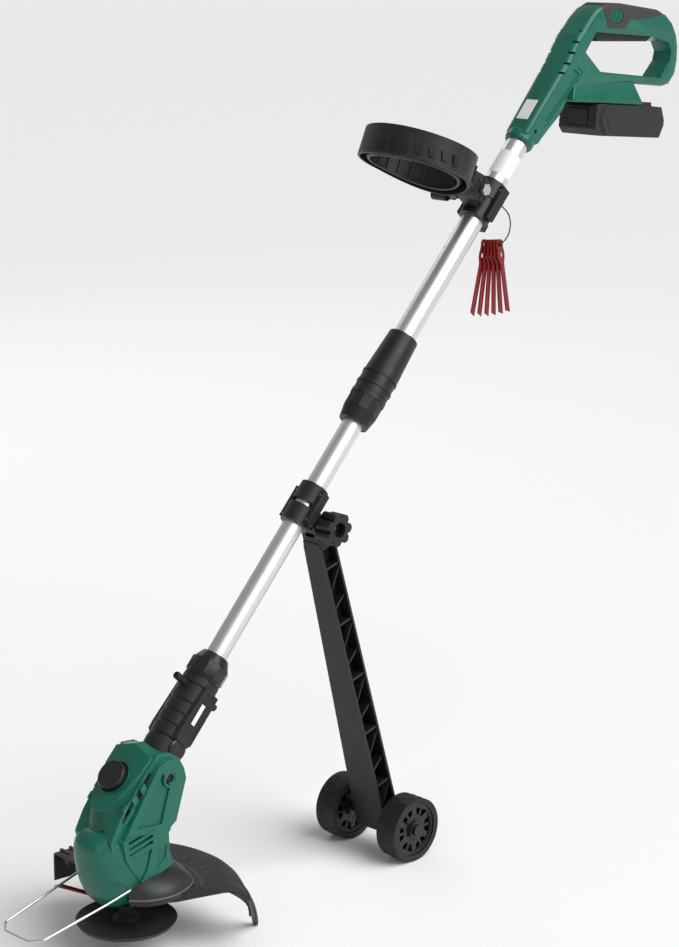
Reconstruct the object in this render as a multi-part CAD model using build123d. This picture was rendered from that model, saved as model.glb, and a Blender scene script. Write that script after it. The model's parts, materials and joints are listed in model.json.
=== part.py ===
from build123d import *
import os
from math import atan2, cos, degrees, pi, radians, sin, sqrt, tan

# Cordless wheeled lawn edger and grass trimmer, in millimetres, +Z up.
# -X is forwards, towards the cutting head; +X is towards the grip; +Y is the user's far side.
# Every point below is measured from the head's tilt axis, and FRAME_SHIFT then puts the
# origin on the ground under the middle of the whole machine.

# ---- driving dimensions ----
SHAFT_ANGLE = 46.13
TILT_AXIS_HEIGHT = 206.8
FRAME_SHIFT = (-374.5, -19.8, TILT_AXIS_HEIGHT)

UPPER_TUBE_R = 14.0
UPPER_TUBE_BORE_R = 12.6
UPPER_TUBE_SPAN = (500.0, 1000.0)
LOWER_TUBE_R = 12.5
LOWER_TUBE_BORE_R = 11.2
LOWER_TUBE_SPAN = (32.0, 640.0)
LEAD_R = 2.6
LEAD_OFFSET = 6.5
SLIDE_GAP = 0.08
WALL = 2.4
SCREW_R = 2.1
BOSS_R = 4.6

SPINDLE_X = -38.0
DISC_R = 57.5
DISC_Z = -171.0
DISC_THICK = 5.0
BLADE_Z = -160.0
BLADE_PIN = (-24.5, 25.5)
BLADE_HEADING = 104.0
BLADE_LENGTH = 92.0

HEAD_HALF_WIDTH = 36.0
TILT_PIN_R = 4.0
MOTOR_R = 21.0
MOTOR_SPAN = (-116.0, -60.0)
GUARD_R = 141.0
GUARD_ARC = (-46.0, 86.0)

WHEEL_R = 40.5
WHEEL_WIDTH = 30.0
STUDS = 18
STUD_R = 3.0
STUD_RISE = 0.5
STUD_ROW_GAP = 15.0
WHEEL_Y = 52.0
AXLE = (375.0, -166.3)
AXLE_R = 4.0

STRUT_PIVOT_S = 353.0
STRUT_PIVOT_T = 29.0
STRUT_CLAMP_SPAN = (333.0, 385.0)
COUPLING_SPAN = (478.0, 604.0)
AUX_CLAMP_SPAN = (784.0, 838.0)
AUX_PIVOT_S = 806.0
AUX_PIVOT_T = -36.0
LOOP_CENTRE = (441.5, 651.1)
LOOP_TILT = 25.0
LOOP_HALF_LENGTH = 66.0
LOOP_HALF_WIDTH = 72.0
LOOP_BAND = 15.0
LOOP_HEIGHT = 34.0
LOOP_SKIN = 2.8

GRIP_TILT = -5.5
HANDLE_WIDE = 20.0
BATTERY_CENTRE = (816.5, 667.8)
BATTERY_SIZE = (145.0, 60.0, 40.0)
CELL_R = 9.2
CELL_LENGTH = 65.0

STRING_R = 0.8
SPARE_BLADES = 6
SPARE_FAN = 13.0
KEYHOLE_AT = 14.0

# ---- frames ----
SHAFT_X = cos(radians(SHAFT_ANGLE))
SHAFT_Z = sin(radians(SHAFT_ANGLE))
# Local x points down and back from the shaft, local z climbs the shaft to the grip.
SHAFT = Plane(origin=(0, 0, 0), x_dir=(SHAFT_Z, 0, -SHAFT_X), z_dir=(SHAFT_X, 0, SHAFT_Z)).location
BASE = (Align.CENTER, Align.CENTER, Align.MIN)


def shaft_point(along, below, y=0.0):
    """A point by its distance up the shaft and its distance below the shaft's axis."""
    return (SHAFT_X * along + SHAFT_Z * below, y, SHAFT_Z * along - SHAFT_X * below)


AUX_PIVOT = shaft_point(AUX_PIVOT_S, AUX_PIVOT_T)[::2]


def grip_frame(centre):
    """A frame tilted with the grip, its z upwards."""
    tilt = radians(-GRIP_TILT)
    return Plane(origin=(centre[0], 0, centre[1]), x_dir=(cos(tilt), 0, -sin(tilt)), z_dir=(sin(tilt), 0, cos(tilt))).location


# ---- shape helpers ----
def side_prism(points, y_low, y_high):
    """An outline in the XZ plane, swept across the machine."""
    outline = Polyline(*[(x, y_low, z) for x, z in points], close=True)
    return extrude(make_face(outline), amount=y_high - y_low, dir=(0, 1, 0))


def plan_prism(points, z_low, z_high):
    """An outline in the XY plane, swept upwards."""
    outline = Polyline(*[(x, y, z_low) for x, y in points], close=True)
    return extrude(make_face(outline), amount=z_high - z_low, dir=(0, 0, 1))


def inset_outline(points, amount):
    """The side outline moved inwards by a wall thickness, as a face in the XZ plane."""
    face = make_face(Polyline(*[(x, z) for x, z in points], close=True))
    return offset(face, amount=-amount, kind=Kind.INTERSECTION)


def inset_prism(points, amount, y_low, y_high):
    """The inset side outline, swept across the machine."""
    upright = Rot(90, 0, 0) * inset_outline(points, amount)
    return extrude(Pos(0, y_low, 0) * upright, amount=y_high - y_low, dir=(0, 1, 0))


def rod(radius, low, high):
    """A round bar along local z."""
    return Pos(0, 0, low) * Cylinder(radius, high - low, align=BASE)


def ring(outer, inner, low, high):
    """A round sleeve along local z."""
    return rod(outer, low, high) - rod(inner, low - 1, high + 1)


def taper(radius_low, radius_high, low, high):
    """A cone frustum along local z."""
    return Pos(0, 0, low) * Cone(radius_low, radius_high, high - low, align=BASE)


def faceted(radius, sides, low, high):
    """A many-sided bar along local z."""
    return Pos(0, 0, low) * extrude(RegularPolygon(radius, sides), amount=high - low)


def cross_rod(radius, y_low, y_high, x, z):
    """A round bar across the machine, along Y."""
    return Pos(x, y_low, z) * Rot(-90, 0, 0) * Cylinder(radius, y_high - y_low, align=BASE)


def block(size, centre):
    """A plain block by its size and centre."""
    return Pos(*centre) * Box(*size)


def half(shape, side):
    """The part of a shape on one side of the middle plane: -1 is the near side, 1 the far side."""
    reach = 2000.0
    return shape & Pos(0, side * reach / 2, 0) * Box(2 * reach, reach, 2 * reach)


def half_below(shape, side):
    """The part of a shaft-local shape above (-1) or below (1) the shaft's axis."""
    reach = 2000.0
    gap = 0.4
    return shape & Pos(side * (reach / 2 + gap), 0, 0) * Box(reach, 2 * reach, 2 * reach)


def lobed_knob(radius, lobes, y_low, y_high, x, z, bolt_r):
    """A hand knob on a cross bolt, with round lobes."""
    core = radius * 0.72
    lobe = radius * 0.3
    knob = cross_rod(core, y_low, y_high, x, z)
    for turn in range(lobes):
        angle = 2 * pi * turn / lobes
        knob += cross_rod(lobe, y_low, y_high, x + (radius - lobe) * cos(angle), z + (radius - lobe) * sin(angle))
    return knob - cross_rod(bolt_r, y_low - 1, y_high + 1, x, z)


# ---- tubes and coupling ----
def upper_tube():
    x, z, _ = HANDLE_SCREWS[0]
    return SHAFT * ring(UPPER_TUBE_R, UPPER_TUBE_BORE_R, *UPPER_TUBE_SPAN) - cross_rod(SCREW_R + 0.05, -30, 30, x, z)


def lower_tube():
    return SHAFT * ring(LOWER_TUBE_R, LOWER_TUBE_BORE_R, *LOWER_TUBE_SPAN)


def coupling_nut():
    low, high = COUPLING_SPAN[0], COUPLING_SPAN[0] + 40
    body = taper(18.6, 21.4, low, low + 16) + faceted(22.2, 12, low + 16, high)
    collar = ring(22.3, 20.6, high - 6, high)
    cavity = rod(LOWER_TUBE_R + 0.5, low - 1, low + 9) + rod(17.4, low + 8, high + 1)
    return SHAFT * (body + collar - cavity)


def coupling_sleeve():
    low, high = COUPLING_SPAN[0] + 40.6, COUPLING_SPAN[1]
    body = rod(21.6, low, low + 36) + taper(21.4, 18.8, low + 36, high)
    for rise in (9.0, 24.0):
        body += rod(22.6, low + rise, low + rise + 3)
    neck = rod(16.8, low - 14, low)
    return SHAFT * (body + neck - rod(UPPER_TUBE_R, low - 20, high + 1))


def coupling_collet():
    low = COUPLING_SPAN[0] + 10
    collet = ring(15.6, LOWER_TUBE_R + SLIDE_GAP, low, UPPER_TUBE_SPAN[0] - 0.3)
    for turn in range(4):
        collet -= Rot(0, 0, 90 * turn) * block((8, 1.6, 9), (15, 0, low + 3))
    return SHAFT * collet


def power_lead():
    return SHAFT * Pos(LEAD_OFFSET, 0, 0) * rod(LEAD_R, 700, UPPER_TUBE_SPAN[1] + 12)


def motor_lead():
    return SHAFT * Pos(LEAD_OFFSET, 0, 0) * rod(LEAD_R, LOWER_TUBE_SPAN[0] + 6, 560)


# ---- rear handle ----
HANDLE_OUTLINE = [
    (617.7, 664.3), (694.6, 747.1), (720.1, 780.8), (731.0, 790.0), (742.0, 801.0), (757.0, 812.0), (775.0, 818.0),
    (812.0, 816.0), (888.0, 805.5), (915.0, 794.0), (931.0, 778.0), (938.0, 760.0), (938.0, 738.0),
    (932.0, 720.0), (918.0, 705.5), (865.0, 710.5), (838.0, 713.0), (843.0, 687.2), (706.0, 699.6),
    (691.8, 686.0), (654.9, 656.2), (645.6, 647.1),
]
HANDLE_OPENING = [
    (733.0, 759.0), (755.0, 783.0), (875.0, 772.0), (914.0, 762.0), (921.0, 750.0), (918.0, 738.0),
    (897.0, 717.0), (860.0, 722.0), (766.0, 733.0),
]
HANDLE_PLAN = [
    (600.0, 17.0), (640.0, 17.5), (700.0, HANDLE_WIDE), (740.0, HANDLE_WIDE), (790.0, 17.0), (890.0, 16.0), (945.0, 13.5),
]
GRIP_PAD_REGION = [
    (768.0, 832.0), (770.0, 812.0), (776.0, 800.0), (778.0, 787.0), (812.0, 785.0), (826.0, 795.5),
    (872.0, 797.0), (898.0, 800.0), (904.0, 832.0),
]
GRIP_PAD_THICK = 1.6
BRACKET_FLARE = [(705.0, 704.3), (712.0, 709.0), (839.0, 700.0), (843.0, 687.2), (706.0, 699.6)]
RAIL_HALF = 18.0
RAIL_HEIGHT = 5.0
LOCK_BUTTON = (797.0, 801.0)
LOCK_BUTTON_R = 9.0
LOCK_BORE_R = 9.4
TRIGGER_PIVOT = (877.0, 773.0)
TRIGGER_OUTLINE = [
    (766.0, 783.0), (768.5, 770.5), (874.0, 765.5), (881.0, 770.0), (881.0, 777.0), (868.0, 781.5), (780.0, 790.5), (766.0, 790.0),
]
TRIGGER_HALF = 8.5
# Each screw of the handle by its place and half of its length.
HANDLE_SCREWS = [(639.0, 667.0, 15.0), (691.3, 730.3, 13.0), (742.0, 738.0, 13.0), (929.0, 749.0, 11.0)]


def plan_envelope(plan, inset, z_low, z_high):
    """A solid whose half-width follows the plan points along X."""
    near = [(x, -(w - inset)) for x, w in plan]
    far = [(x, w - inset) for x, w in reversed(plan)]
    return plan_prism(near + far, z_low, z_high)


def handle_solid(inset):
    """The D-handle's outer form, moved inwards by inset on every wall."""
    reach = HANDLE_WIDE + 6
    body = inset_prism(HANDLE_OUTLINE, inset, -reach, reach)
    opening = inset_prism(HANDLE_OPENING, -inset, -reach, reach)
    return (body - opening) & plan_envelope(HANDLE_PLAN, inset, 600, 900)


def bracket_rail(clearance):
    """The rail on top of the battery, which the bracket's channel takes."""
    half_length = 58.0
    size = (2 * half_length, 2 * (RAIL_HALF + clearance), RAIL_HEIGHT + clearance)
    return block(size, (0, 0, BATTERY_SIZE[2] / 2 + (RAIL_HEIGHT + clearance) / 2))


def battery_channel():
    """The room that the battery's rail needs in the bracket, open at the rear."""
    channel = bracket_rail(0.5) + Pos(40, 0, 0) * bracket_rail(0.5)
    below = block((220, 80, 30), (20, 0, BATTERY_SIZE[2] / 2 + 0.3 - 15))
    return grip_frame(BATTERY_CENTRE) * (channel + below)


def terminal_pocket():
    """The room above the rail's channel that the contact block sits in."""
    height = 9.0
    return grip_frame(BATTERY_CENTRE) * block((20.6, 24.6, height), (-46, 0, BATTERY_SIZE[2] / 2 + RAIL_HEIGHT + height / 2))


def grip_pad_solid():
    skin = handle_solid(0) & side_prism(GRIP_PAD_REGION, -30, 30)
    return skin - handle_solid(GRIP_PAD_THICK)


def lock_button_bore(radius, y_low, y_high):
    """The oval that the lock-off button slides in, on the near side of the grip."""
    x, z = LOCK_BUTTON
    return cross_rod(radius, y_low, y_high, x - 4, z) + cross_rod(radius, y_low, y_high, x + 4, z)


def handle_shell(side):
    """One half of the handle's casing, with its flared battery bracket."""
    cavity = handle_solid(WALL + GRIP_PAD_THICK - 0.6)
    flare = side_prism(BRACKET_FLARE, -27, 27)
    shell = handle_solid(0) + flare - cavity - grip_pad_solid()
    shell -= SHAFT * rod(UPPER_TUBE_R, 880, UPPER_TUBE_SPAN[1] + 1)
    shell -= side_prism([(763.5, 764), (763.5, 793), (884, 790), (884, 762)], -TRIGGER_HALF - 0.5, TRIGGER_HALF + 0.5)
    shell -= lock_button_bore(LOCK_BORE_R, -30, 0)
    shell -= battery_channel() + terminal_pocket()
    shell -= cross_rod(2.06, -13, 13, *TRIGGER_PIVOT)
    for x, z, _ in HANDLE_SCREWS[1:]:
        shell += cross_rod(BOSS_R, -HANDLE_WIDE, HANDLE_WIDE, x, z) & handle_solid(1)
    for x, z, reach in HANDLE_SCREWS:
        shell -= cross_rod(SCREW_R + 0.05, -40, reach + 0.5, x, z)
    return half(shell, side)


def handle_screws():
    return Compound(children=[cross_rod(SCREW_R, -reach, reach, x, z) for x, z, reach in HANDLE_SCREWS])


def trigger():
    lever = side_prism(TRIGGER_OUTLINE, -TRIGGER_HALF, TRIGGER_HALF)
    return lever + cross_rod(2.0, -12, 12, *TRIGGER_PIVOT)


def upright_spring(radius, x, y, z_low, z_high):
    return Pos(x, y, z_low) * Cylinder(radius, z_high - z_low, align=BASE)


def trigger_spring():
    return upright_spring(3.0, 786, 0, 790.3, 806)


def lock_button():
    return lock_button_bore(LOCK_BUTTON_R, -18.6, -11.8)


def lock_spring():
    return cross_rod(3.0, -11.6, -3.5, *LOCK_BUTTON)


def trigger_switch():
    return grip_frame((836, 800)) * block((26, 12, 11), (0, 0, 0)) + cross_rod(1.6, -4, 4, 829, 794.6)


def control_board():
    return Pos(*shaft_point(1030, 2)) * Rot(0, 90 - SHAFT_ANGLE, 0) * (block((1.6, 26, 34), (0, 0, 0)) + block((7, 18, 14), (4.3, 0, 2)))


def terminal_block():
    return grip_frame(BATTERY_CENTRE) * block((20, 24, 6), (-46, 0, BATTERY_SIZE[2] / 2 + RAIL_HEIGHT + 4.2))


# ---- battery ----
def battery_form(inset):
    """The pack's outer form in its own frame, with a chamfered nose and tail."""
    length, width, height = (d / 2 - inset for d in BATTERY_SIZE)
    nose, tail = 8.0, 10.0
    outline = [
        (-length, -height + nose), (-length + nose, -height), (length - tail * 0.8, -height), (length, -3), (length, 3),
        (length - tail * 0.8, height), (-length + nose / 2, height), (-length, height - nose / 2),
    ]
    return side_prism(outline, -width, width)


LATCH_SIZE = (4.0, 30.0, 20.0)


def latch_pocket():
    return block((9.0, LATCH_SIZE[1] + 0.8, LATCH_SIZE[2] + 0.8), (-BATTERY_SIZE[0] / 2 + 1.4, 0, 3))


def battery_case(side):
    """One half of the pack's case: -1 is the tray, 1 the lid with its rail."""
    case = battery_form(0) - battery_form(2.2)
    reach = 200.0
    case = case & block((reach, reach, reach), (0, 0, side * reach / 2))
    if side > 0:
        case += bracket_rail(0)
    return grip_frame(BATTERY_CENTRE) * (case - latch_pocket())


def battery_cells():
    pitch = 18.5
    places = [(-1, -1), (-1, 0), (1, -1), (1, 0), (1, 1)]
    cells = []
    for row, column in places:
        cell = Rot(0, 90, 0) * Cylinder(CELL_R, CELL_LENGTH)
        cells.append(grip_frame(BATTERY_CENTRE) * Pos(row * (CELL_LENGTH / 2 + 0.4) - 0.6, column * pitch, -3.0) * cell)
    return Compound(children=cells)


def battery_latch():
    plate = block(LATCH_SIZE, (-BATTERY_SIZE[0] / 2 + 0.5, 0, 3))
    return grip_frame(BATTERY_CENTRE) * plate


def latch_spring():
    spring = Pos(-BATTERY_SIZE[0] / 2 + 2.7, 0, 9.0) * Rot(0, 90, 0) * Cylinder(2.4, 8, align=BASE)
    return grip_frame(BATTERY_CENTRE) * spring


# ---- front loop handle ----
LOOP_PLANE = Plane(
    origin=(LOOP_CENTRE[0], 0, LOOP_CENTRE[1]),
    x_dir=(-cos(radians(LOOP_TILT)), 0, sin(radians(LOOP_TILT))),
    z_dir=(sin(radians(LOOP_TILT)), 0, cos(radians(LOOP_TILT))),
).location
AUX_EAR_R = 15.0
AUX_BOLT_R = 4.0


def loop_ellipse(inset, low, high):
    """An oval bar of the loop's outer form moved inwards by inset."""
    oval = Ellipse(LOOP_HALF_LENGTH - inset, LOOP_HALF_WIDTH - inset)
    return Pos(0, 0, low) * extrude(oval, amount=high - low)


def loop_band():
    """The loop's band: a channel open below, with cross ribs between its pockets."""
    top = LOOP_HEIGHT / 2
    outer = loop_ellipse(0, -top, top) - loop_ellipse(LOOP_BAND, -top - 1, top + 1)
    channel = loop_ellipse(LOOP_SKIN, -top - 1, top - LOOP_SKIN) - loop_ellipse(LOOP_BAND - LOOP_SKIN, -top - 2, top)
    pockets = 20
    rib = block((2 * LOOP_HALF_WIDTH, 2.6, LOOP_HEIGHT - 4), (0, 0, 2))
    ribs = rib
    for index in range(1, pockets // 2):
        ribs += Rot(0, 0, 360 * index / pockets) * rib
    return outer - (channel - ribs)


def loop_handle():
    """The oval hand loop with its two ears."""
    top = LOOP_HEIGHT / 2
    bridge = block((26, 48, 26), (-LOOP_HALF_LENGTH - 1, 0, 1)) - loop_ellipse(LOOP_BAND / 2, -top, top)
    loop = LOOP_PLANE * (loop_band() + bridge)
    arm = block((32, 48, 22), (-LOOP_HALF_LENGTH - 15, 0, 3))
    loop += LOOP_PLANE * arm
    loop += cross_rod(AUX_EAR_R, -24, 24, *AUX_PIVOT)
    loop -= cross_rod(AUX_EAR_R + 2.5, -10.3, 10.3, *AUX_PIVOT)
    loop -= SHAFT * block((40, 20.6, 60), (-20, 0, AUX_PIVOT_S))
    return loop - cross_rod(AUX_BOLT_R + 0.05, -40, 40, *AUX_PIVOT)


def aux_clamp(side):
    """One half of the loop handle's tube clamp: -1 carries the boss, 1 the cord hook."""
    low, high = AUX_CLAMP_SPAN
    collar = rod(19.0, low, high) - ring(25, 17.6, low + 24, low + 30)
    for y in (-20.5, 20.5):
        collar += block((13, 9, 46), (0, y, (low + high) / 2))
    if side < 0:
        boss = Rot(-90, 0, 0) * Cylinder(14.0, 19.6)
        collar += Pos(AUX_PIVOT_T, 0, AUX_PIVOT_S) * boss + block((24, 19.6, 26), (-24, 0, AUX_PIVOT_S))
    else:
        collar += block((9, 12, 6.4), (19, 0, high - 9)) + block((6, 12, 10), (20, 0, low + 4))
        collar += Pos(23, 0, high - 9) * Rot(90, 0, 0) * Cylinder(3.2, 12)
        collar -= Pos(23, 0, high - 9) * Rot(90, 0, 0) * Cylinder(1.6, 30)
    shape = half_below(collar, side) - rod(UPPER_TUBE_R + SLIDE_GAP, low - 1, high + 1)
    shape -= Pos(AUX_PIVOT_T, 0, AUX_PIVOT_S) * Rot(90, 0, 0) * Cylinder(AUX_BOLT_R + 0.05, 60)
    for y in (-21.5, 21.5):
        for along in (low + 10, high - 10):
            shape -= Pos(0, y, along) * Rot(0, 90, 0) * Cylinder(1.7, 40)
    return SHAFT * shape


def aux_bolts():
    """The loop handle's pivot bolt and the four screws that close its clamp."""
    low, high = AUX_CLAMP_SPAN
    x, z = AUX_PIVOT
    bolt = cross_rod(AUX_BOLT_R, -27, 50, x, z)
    head = Pos(x, -31.5, z) * Rot(-90, 0, 0) * extrude(RegularPolygon(7.5, 6), amount=5)
    solids = [bolt + head]
    for y in (-21.5, 21.5):
        for along in (low + 10, high - 10):
            solids.append(SHAFT * Pos(0, y, along) * Rot(0, 90, 0) * Cylinder(1.6, 12.5))
    return Compound(children=solids)


def aux_knob():
    return lobed_knob(20.5, 6, 26, 49, *AUX_PIVOT, AUX_BOLT_R + 0.05)


# ---- spare blades on their cord ----
LUG = shaft_point(AUX_CLAMP_SPAN[1] - 9, 26.4)
EYE_Z = 531.0
EYE_X = 580.0


def blade_shape(length, thick):
    """A flat plastic cutting blade along +X from its eye."""
    outline = [
        (-6, -4), (-3, -6), (6, -5.4), (10, -6.2), (17, -6.2), (25, -3.4), (length, -5), (length + 4, 2), (25, 3.4),
        (17, 6.2), (10, 6.2), (6, 5.4), (-3, 6), (-6, 4),
    ]
    blade = plan_prism(outline, -thick / 2, thick / 2)
    return blade - Cylinder(2.6, 10) - Pos(KEYHOLE_AT, 0, 0) * Cylinder(3.2, 10)


def spare_blades():
    blades = []
    for index in range(SPARE_BLADES):
        fan = 90 + SPARE_FAN * (2 * index / (SPARE_BLADES - 1) - 1)
        y = 3.0 * (index - (SPARE_BLADES - 1) / 2)
        blade = Rot(90, 0, 0) * blade_shape(BLADE_LENGTH - 6, 1.8)
        blades.append(Pos(EYE_X - (index - 2.5) * 2.2, y, EYE_Z) * Rot(0, fan, 0) * blade)
    return Compound(children=blades)


STRING_ROUTE = [
    (LUG[0], 0.0, LUG[2]), (604.5, -1.5, 571.5), (610.0, -3.0, 562.5), (609.5, -5.0, 552.0),
    (603.5, -7.5, 542.5), (594.0, -10.0, 536.0), (584.0, -11.5, 532.5),
]


def corner_radii(route):
    """The radius of each arc of a cord: 0.45 of its shorter run over the tangent of half the turn."""
    radii = []
    for before, corner, after in zip(route, route[1:], route[2:]):
        run_in = Vector(*corner) - Vector(*before)
        run_out = Vector(*after) - Vector(*corner)
        half_turn = radians(run_in.get_angle(run_out)) / 2
        radii.append(0.45 * min(run_in.length, run_out.length) / tan(half_turn))
    return radii


def string_loop():
    radii = corner_radii(STRING_ROUTE)
    print("cord radii, mm:", [round(r, 1) for r in radii])
    path = FilletPolyline(*STRING_ROUTE, radius=radii)
    start = Plane(origin=path @ 0, z_dir=path % 0)
    tube = sweep(start * Circle(STRING_R), path=path)
    print("cord volume over section times length:", round(tube.volume / (pi * STRING_R ** 2 * path.length), 4))
    return tube


def string_knot():
    x, y, z = STRING_ROUTE[-1]
    return Pos(x - 1.6, y, z - 0.6) * Sphere(2.2)


# ---- wheel strut ----
STRUT_PIVOT = shaft_point(STRUT_PIVOT_S, STRUT_PIVOT_T)
STRUT_RUN = (AXLE[0] - STRUT_PIVOT[0], AXLE[1] - STRUT_PIVOT[2])
STRUT_LENGTH = sqrt(STRUT_RUN[0] ** 2 + STRUT_RUN[1] ** 2)
# Local z runs down the strut to the axle, local x points forwards.
STRUT_PLANE = Plane(
    origin=STRUT_PIVOT,
    x_dir=(STRUT_RUN[1] / STRUT_LENGTH, 0, -STRUT_RUN[0] / STRUT_LENGTH),
    z_dir=(STRUT_RUN[0] / STRUT_LENGTH, 0, STRUT_RUN[1] / STRUT_LENGTH),
).location
STRUT_FRONT = 12.0
STRUT_REAR = -15.0
STRUT_TOP_HALF = 13.0
STRUT_FOOT_HALF = 26.0
STRUT_SKIN = 3.0
STRUT_FOOT_REACH = 12.0
# The strut's ribs repeat: each rib's distance down the rear plate and down the front plate.
RIB_START = 54.0
RIB_PERIOD = 76.0
RIB_PERIODS = 5
RIB_PAIRS = [(0.0, 0.0), (4.6, 34.0), (42.0, 56.0)]
RIB_THICK = 3.0
STRUT_EAR_R = 13.0
STRUT_BOLT_R = 3.0


def strut_half_width(down):
    return STRUT_TOP_HALF + (STRUT_FOOT_HALF - STRUT_TOP_HALF) * down / STRUT_LENGTH


def strut_plate(x_low, x_high, margin):
    """A plate of the strut, wider towards the axle."""
    top, foot = 26.0, STRUT_LENGTH + STRUT_FOOT_REACH
    outline = [
        (x_low, -strut_half_width(top) + margin, top), (x_low, strut_half_width(top) - margin, top),
        (x_low, strut_half_width(foot) - margin, foot), (x_low, -strut_half_width(foot) + margin, foot),
    ]
    return extrude(make_face(Polyline(*outline, close=True)), amount=x_high - x_low, dir=(1, 0, 0))


def wheel_strut():
    strut = strut_plate(STRUT_FRONT - STRUT_SKIN, STRUT_FRONT, 0) + strut_plate(STRUT_REAR, STRUT_REAR + STRUT_SKIN, 0)
    strut += block((STRUT_FRONT - STRUT_REAR, 3, STRUT_LENGTH - 40), ((STRUT_FRONT + STRUT_REAR) / 2, 0, STRUT_LENGTH / 2 + 5))
    front, rear = STRUT_FRONT - STRUT_SKIN / 2, STRUT_REAR + STRUT_SKIN / 2
    for period in range(RIB_PERIODS):
        start = RIB_START + RIB_PERIOD * period
        width = strut_half_width(start) - 1.5
        for rear_at, front_at in RIB_PAIRS:
            high, low = start + rear_at, start + front_at
            rib = [(rear, high), (rear, high + RIB_THICK), (front, low + RIB_THICK), (front, low)]
            strut += side_prism(rib, -width, width)
    strut += block((27, 2 * STRUT_TOP_HALF, 10), (-1.5, 0, 25))
    strut += cross_rod(STRUT_FOOT_REACH, -STRUT_FOOT_HALF, STRUT_FOOT_HALF, -1.5, STRUT_LENGTH)
    fork = cross_rod(STRUT_EAR_R, -STRUT_TOP_HALF, STRUT_TOP_HALF, 0, 0)
    fork += block((24, 2 * STRUT_TOP_HALF, 26), (-1, 0, 13))
    fork -= cross_rod(STRUT_EAR_R + 3.5, -7.4, 7.4, 0, 0)
    strut += fork
    strut -= cross_rod(STRUT_BOLT_R + 0.05, -40, 40, 0, 0)
    strut -= cross_rod(AXLE_R, -60, 60, 0, STRUT_LENGTH)
    return STRUT_PLANE * strut


def strut_clamp(side):
    """One half of the strut's tube clamp: -1 is two open bands, 1 carries the ear that the strut turns on."""
    low, high = STRUT_CLAMP_SPAN
    groove_r = 10.0 if side < 0 else 15.8
    collar = rod(17.5, low, high) - ring(25, groove_r, low + 23, low + 29)
    for y in (-18.5, 18.5):
        collar += block((12, 9, 42), (0, y, (low + high) / 2))
    if side > 0:
        ear = Rot(-90, 0, 0) * Cylinder(STRUT_EAR_R, 14.0)
        collar += Pos(STRUT_PIVOT_T, 0, STRUT_PIVOT_S) * ear + block((16, 14.0, 24), (20, 0, STRUT_PIVOT_S))
    shape = half_below(collar, side) - rod(LOWER_TUBE_R + SLIDE_GAP, low - 1, high + 1)
    shape -= Pos(STRUT_PIVOT_T, 0, STRUT_PIVOT_S) * Rot(90, 0, 0) * Cylinder(STRUT_BOLT_R + 0.05, 60)
    for y in (-19.0, 19.0):
        for along in (low + 9, high - 9):
            shape -= Pos(0, y, along) * Rot(0, 90, 0) * Cylinder(1.7, 40)
    return SHAFT * shape


def strut_bolts():
    """The strut's pivot bolt and the four screws that close its clamp."""
    low, high = STRUT_CLAMP_SPAN
    x, z = STRUT_PIVOT[0], STRUT_PIVOT[2]
    solids = [cross_rod(STRUT_BOLT_R, -33, 17, x, z) + cross_rod(5.5, 13.4, 17, x, z)]
    for y in (-19.0, 19.0):
        for along in (low + 9, high - 9):
            solids.append(SHAFT * Pos(0, y, along) * Rot(0, 90, 0) * Cylinder(1.6, 11.5))
    return Compound(children=solids)


def strut_knob():
    x, z = STRUT_PIVOT[0], STRUT_PIVOT[2]
    return lobed_knob(20.0, 7, -42, -20, x, z, STRUT_BOLT_R + 0.05) - cross_rod(9.0, -43, -32, x, z)


def wheel_axle():
    reach = WHEEL_Y + WHEEL_WIDTH / 2 + 3
    axle = cross_rod(AXLE_R, -reach, reach, *AXLE)
    for side in (-1, 1):
        low, high = sorted((side * (reach - 2.2), side * (reach + 0.8)))
        axle += cross_rod(7.0, low, high, *AXLE)
    return axle


def wheel_tread(side):
    """The tyre ring, with two rows of low round studs standing on it."""
    low, high = side * WHEEL_Y - WHEEL_WIDTH / 2, side * WHEEL_Y + WHEEL_WIDTH / 2
    tyre = cross_rod(WHEEL_R - STUD_RISE, low, high, *AXLE) - cross_rod(WHEEL_R - 8, low - 1, high + 1, *AXLE)
    for index in range(STUDS):
        for row in (0, 1):
            turn = 360 * (index + 0.5 * row) / STUDS
            stud = Pos(0, (row - 0.5) * STUD_ROW_GAP, WHEEL_R - 2) * Cylinder(STUD_R, 6)
            tyre += Pos(AXLE[0], side * WHEEL_Y, AXLE[1]) * Rot(0, turn, 0) * stud
    rim = cross_rod(WHEEL_R, low, high, *AXLE) - cross_rod(WHEEL_R - 8, low - 1, high + 1, *AXLE)
    return tyre & rim


def wheel_hub(side):
    low, high = side * WHEEL_Y - WHEEL_WIDTH / 2, side * WHEEL_Y + WHEEL_WIDTH / 2
    hub = cross_rod(WHEEL_R - 8.05, low + 2, high - 2, *AXLE) - cross_rod(WHEEL_R - 12, low, high, *AXLE)
    hub += cross_rod(11.0, low, high, *AXLE)
    hub += cross_rod(WHEEL_R - 9, side * WHEEL_Y - 2, side * WHEEL_Y + 2, *AXLE)
    spokes = 6
    for index in range(spokes):
        spoke = block((WHEEL_R - 18, WHEEL_WIDTH - 8, 3.4), (19, 0, 0))
        hub += Pos(AXLE[0], side * WHEEL_Y, AXLE[1]) * Rot(0, 360 * index / spokes, 0) * spoke
    return hub - cross_rod(AXLE_R + SLIDE_GAP, low - 1, high + 1, *AXLE)


# ---- neck ----
NECK_R = 22.5
NECK_SPAN = (-2.0, 118.0)
LOCK_S = 104.0


def neck_solid():
    body = rod(NECK_R, 18, NECK_SPAN[1]) + rod(18.0, NECK_SPAN[0], 20)
    barrel = Rot(90, 0, 0) * Cylinder(17.5, 40)
    return body + barrel


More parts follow.
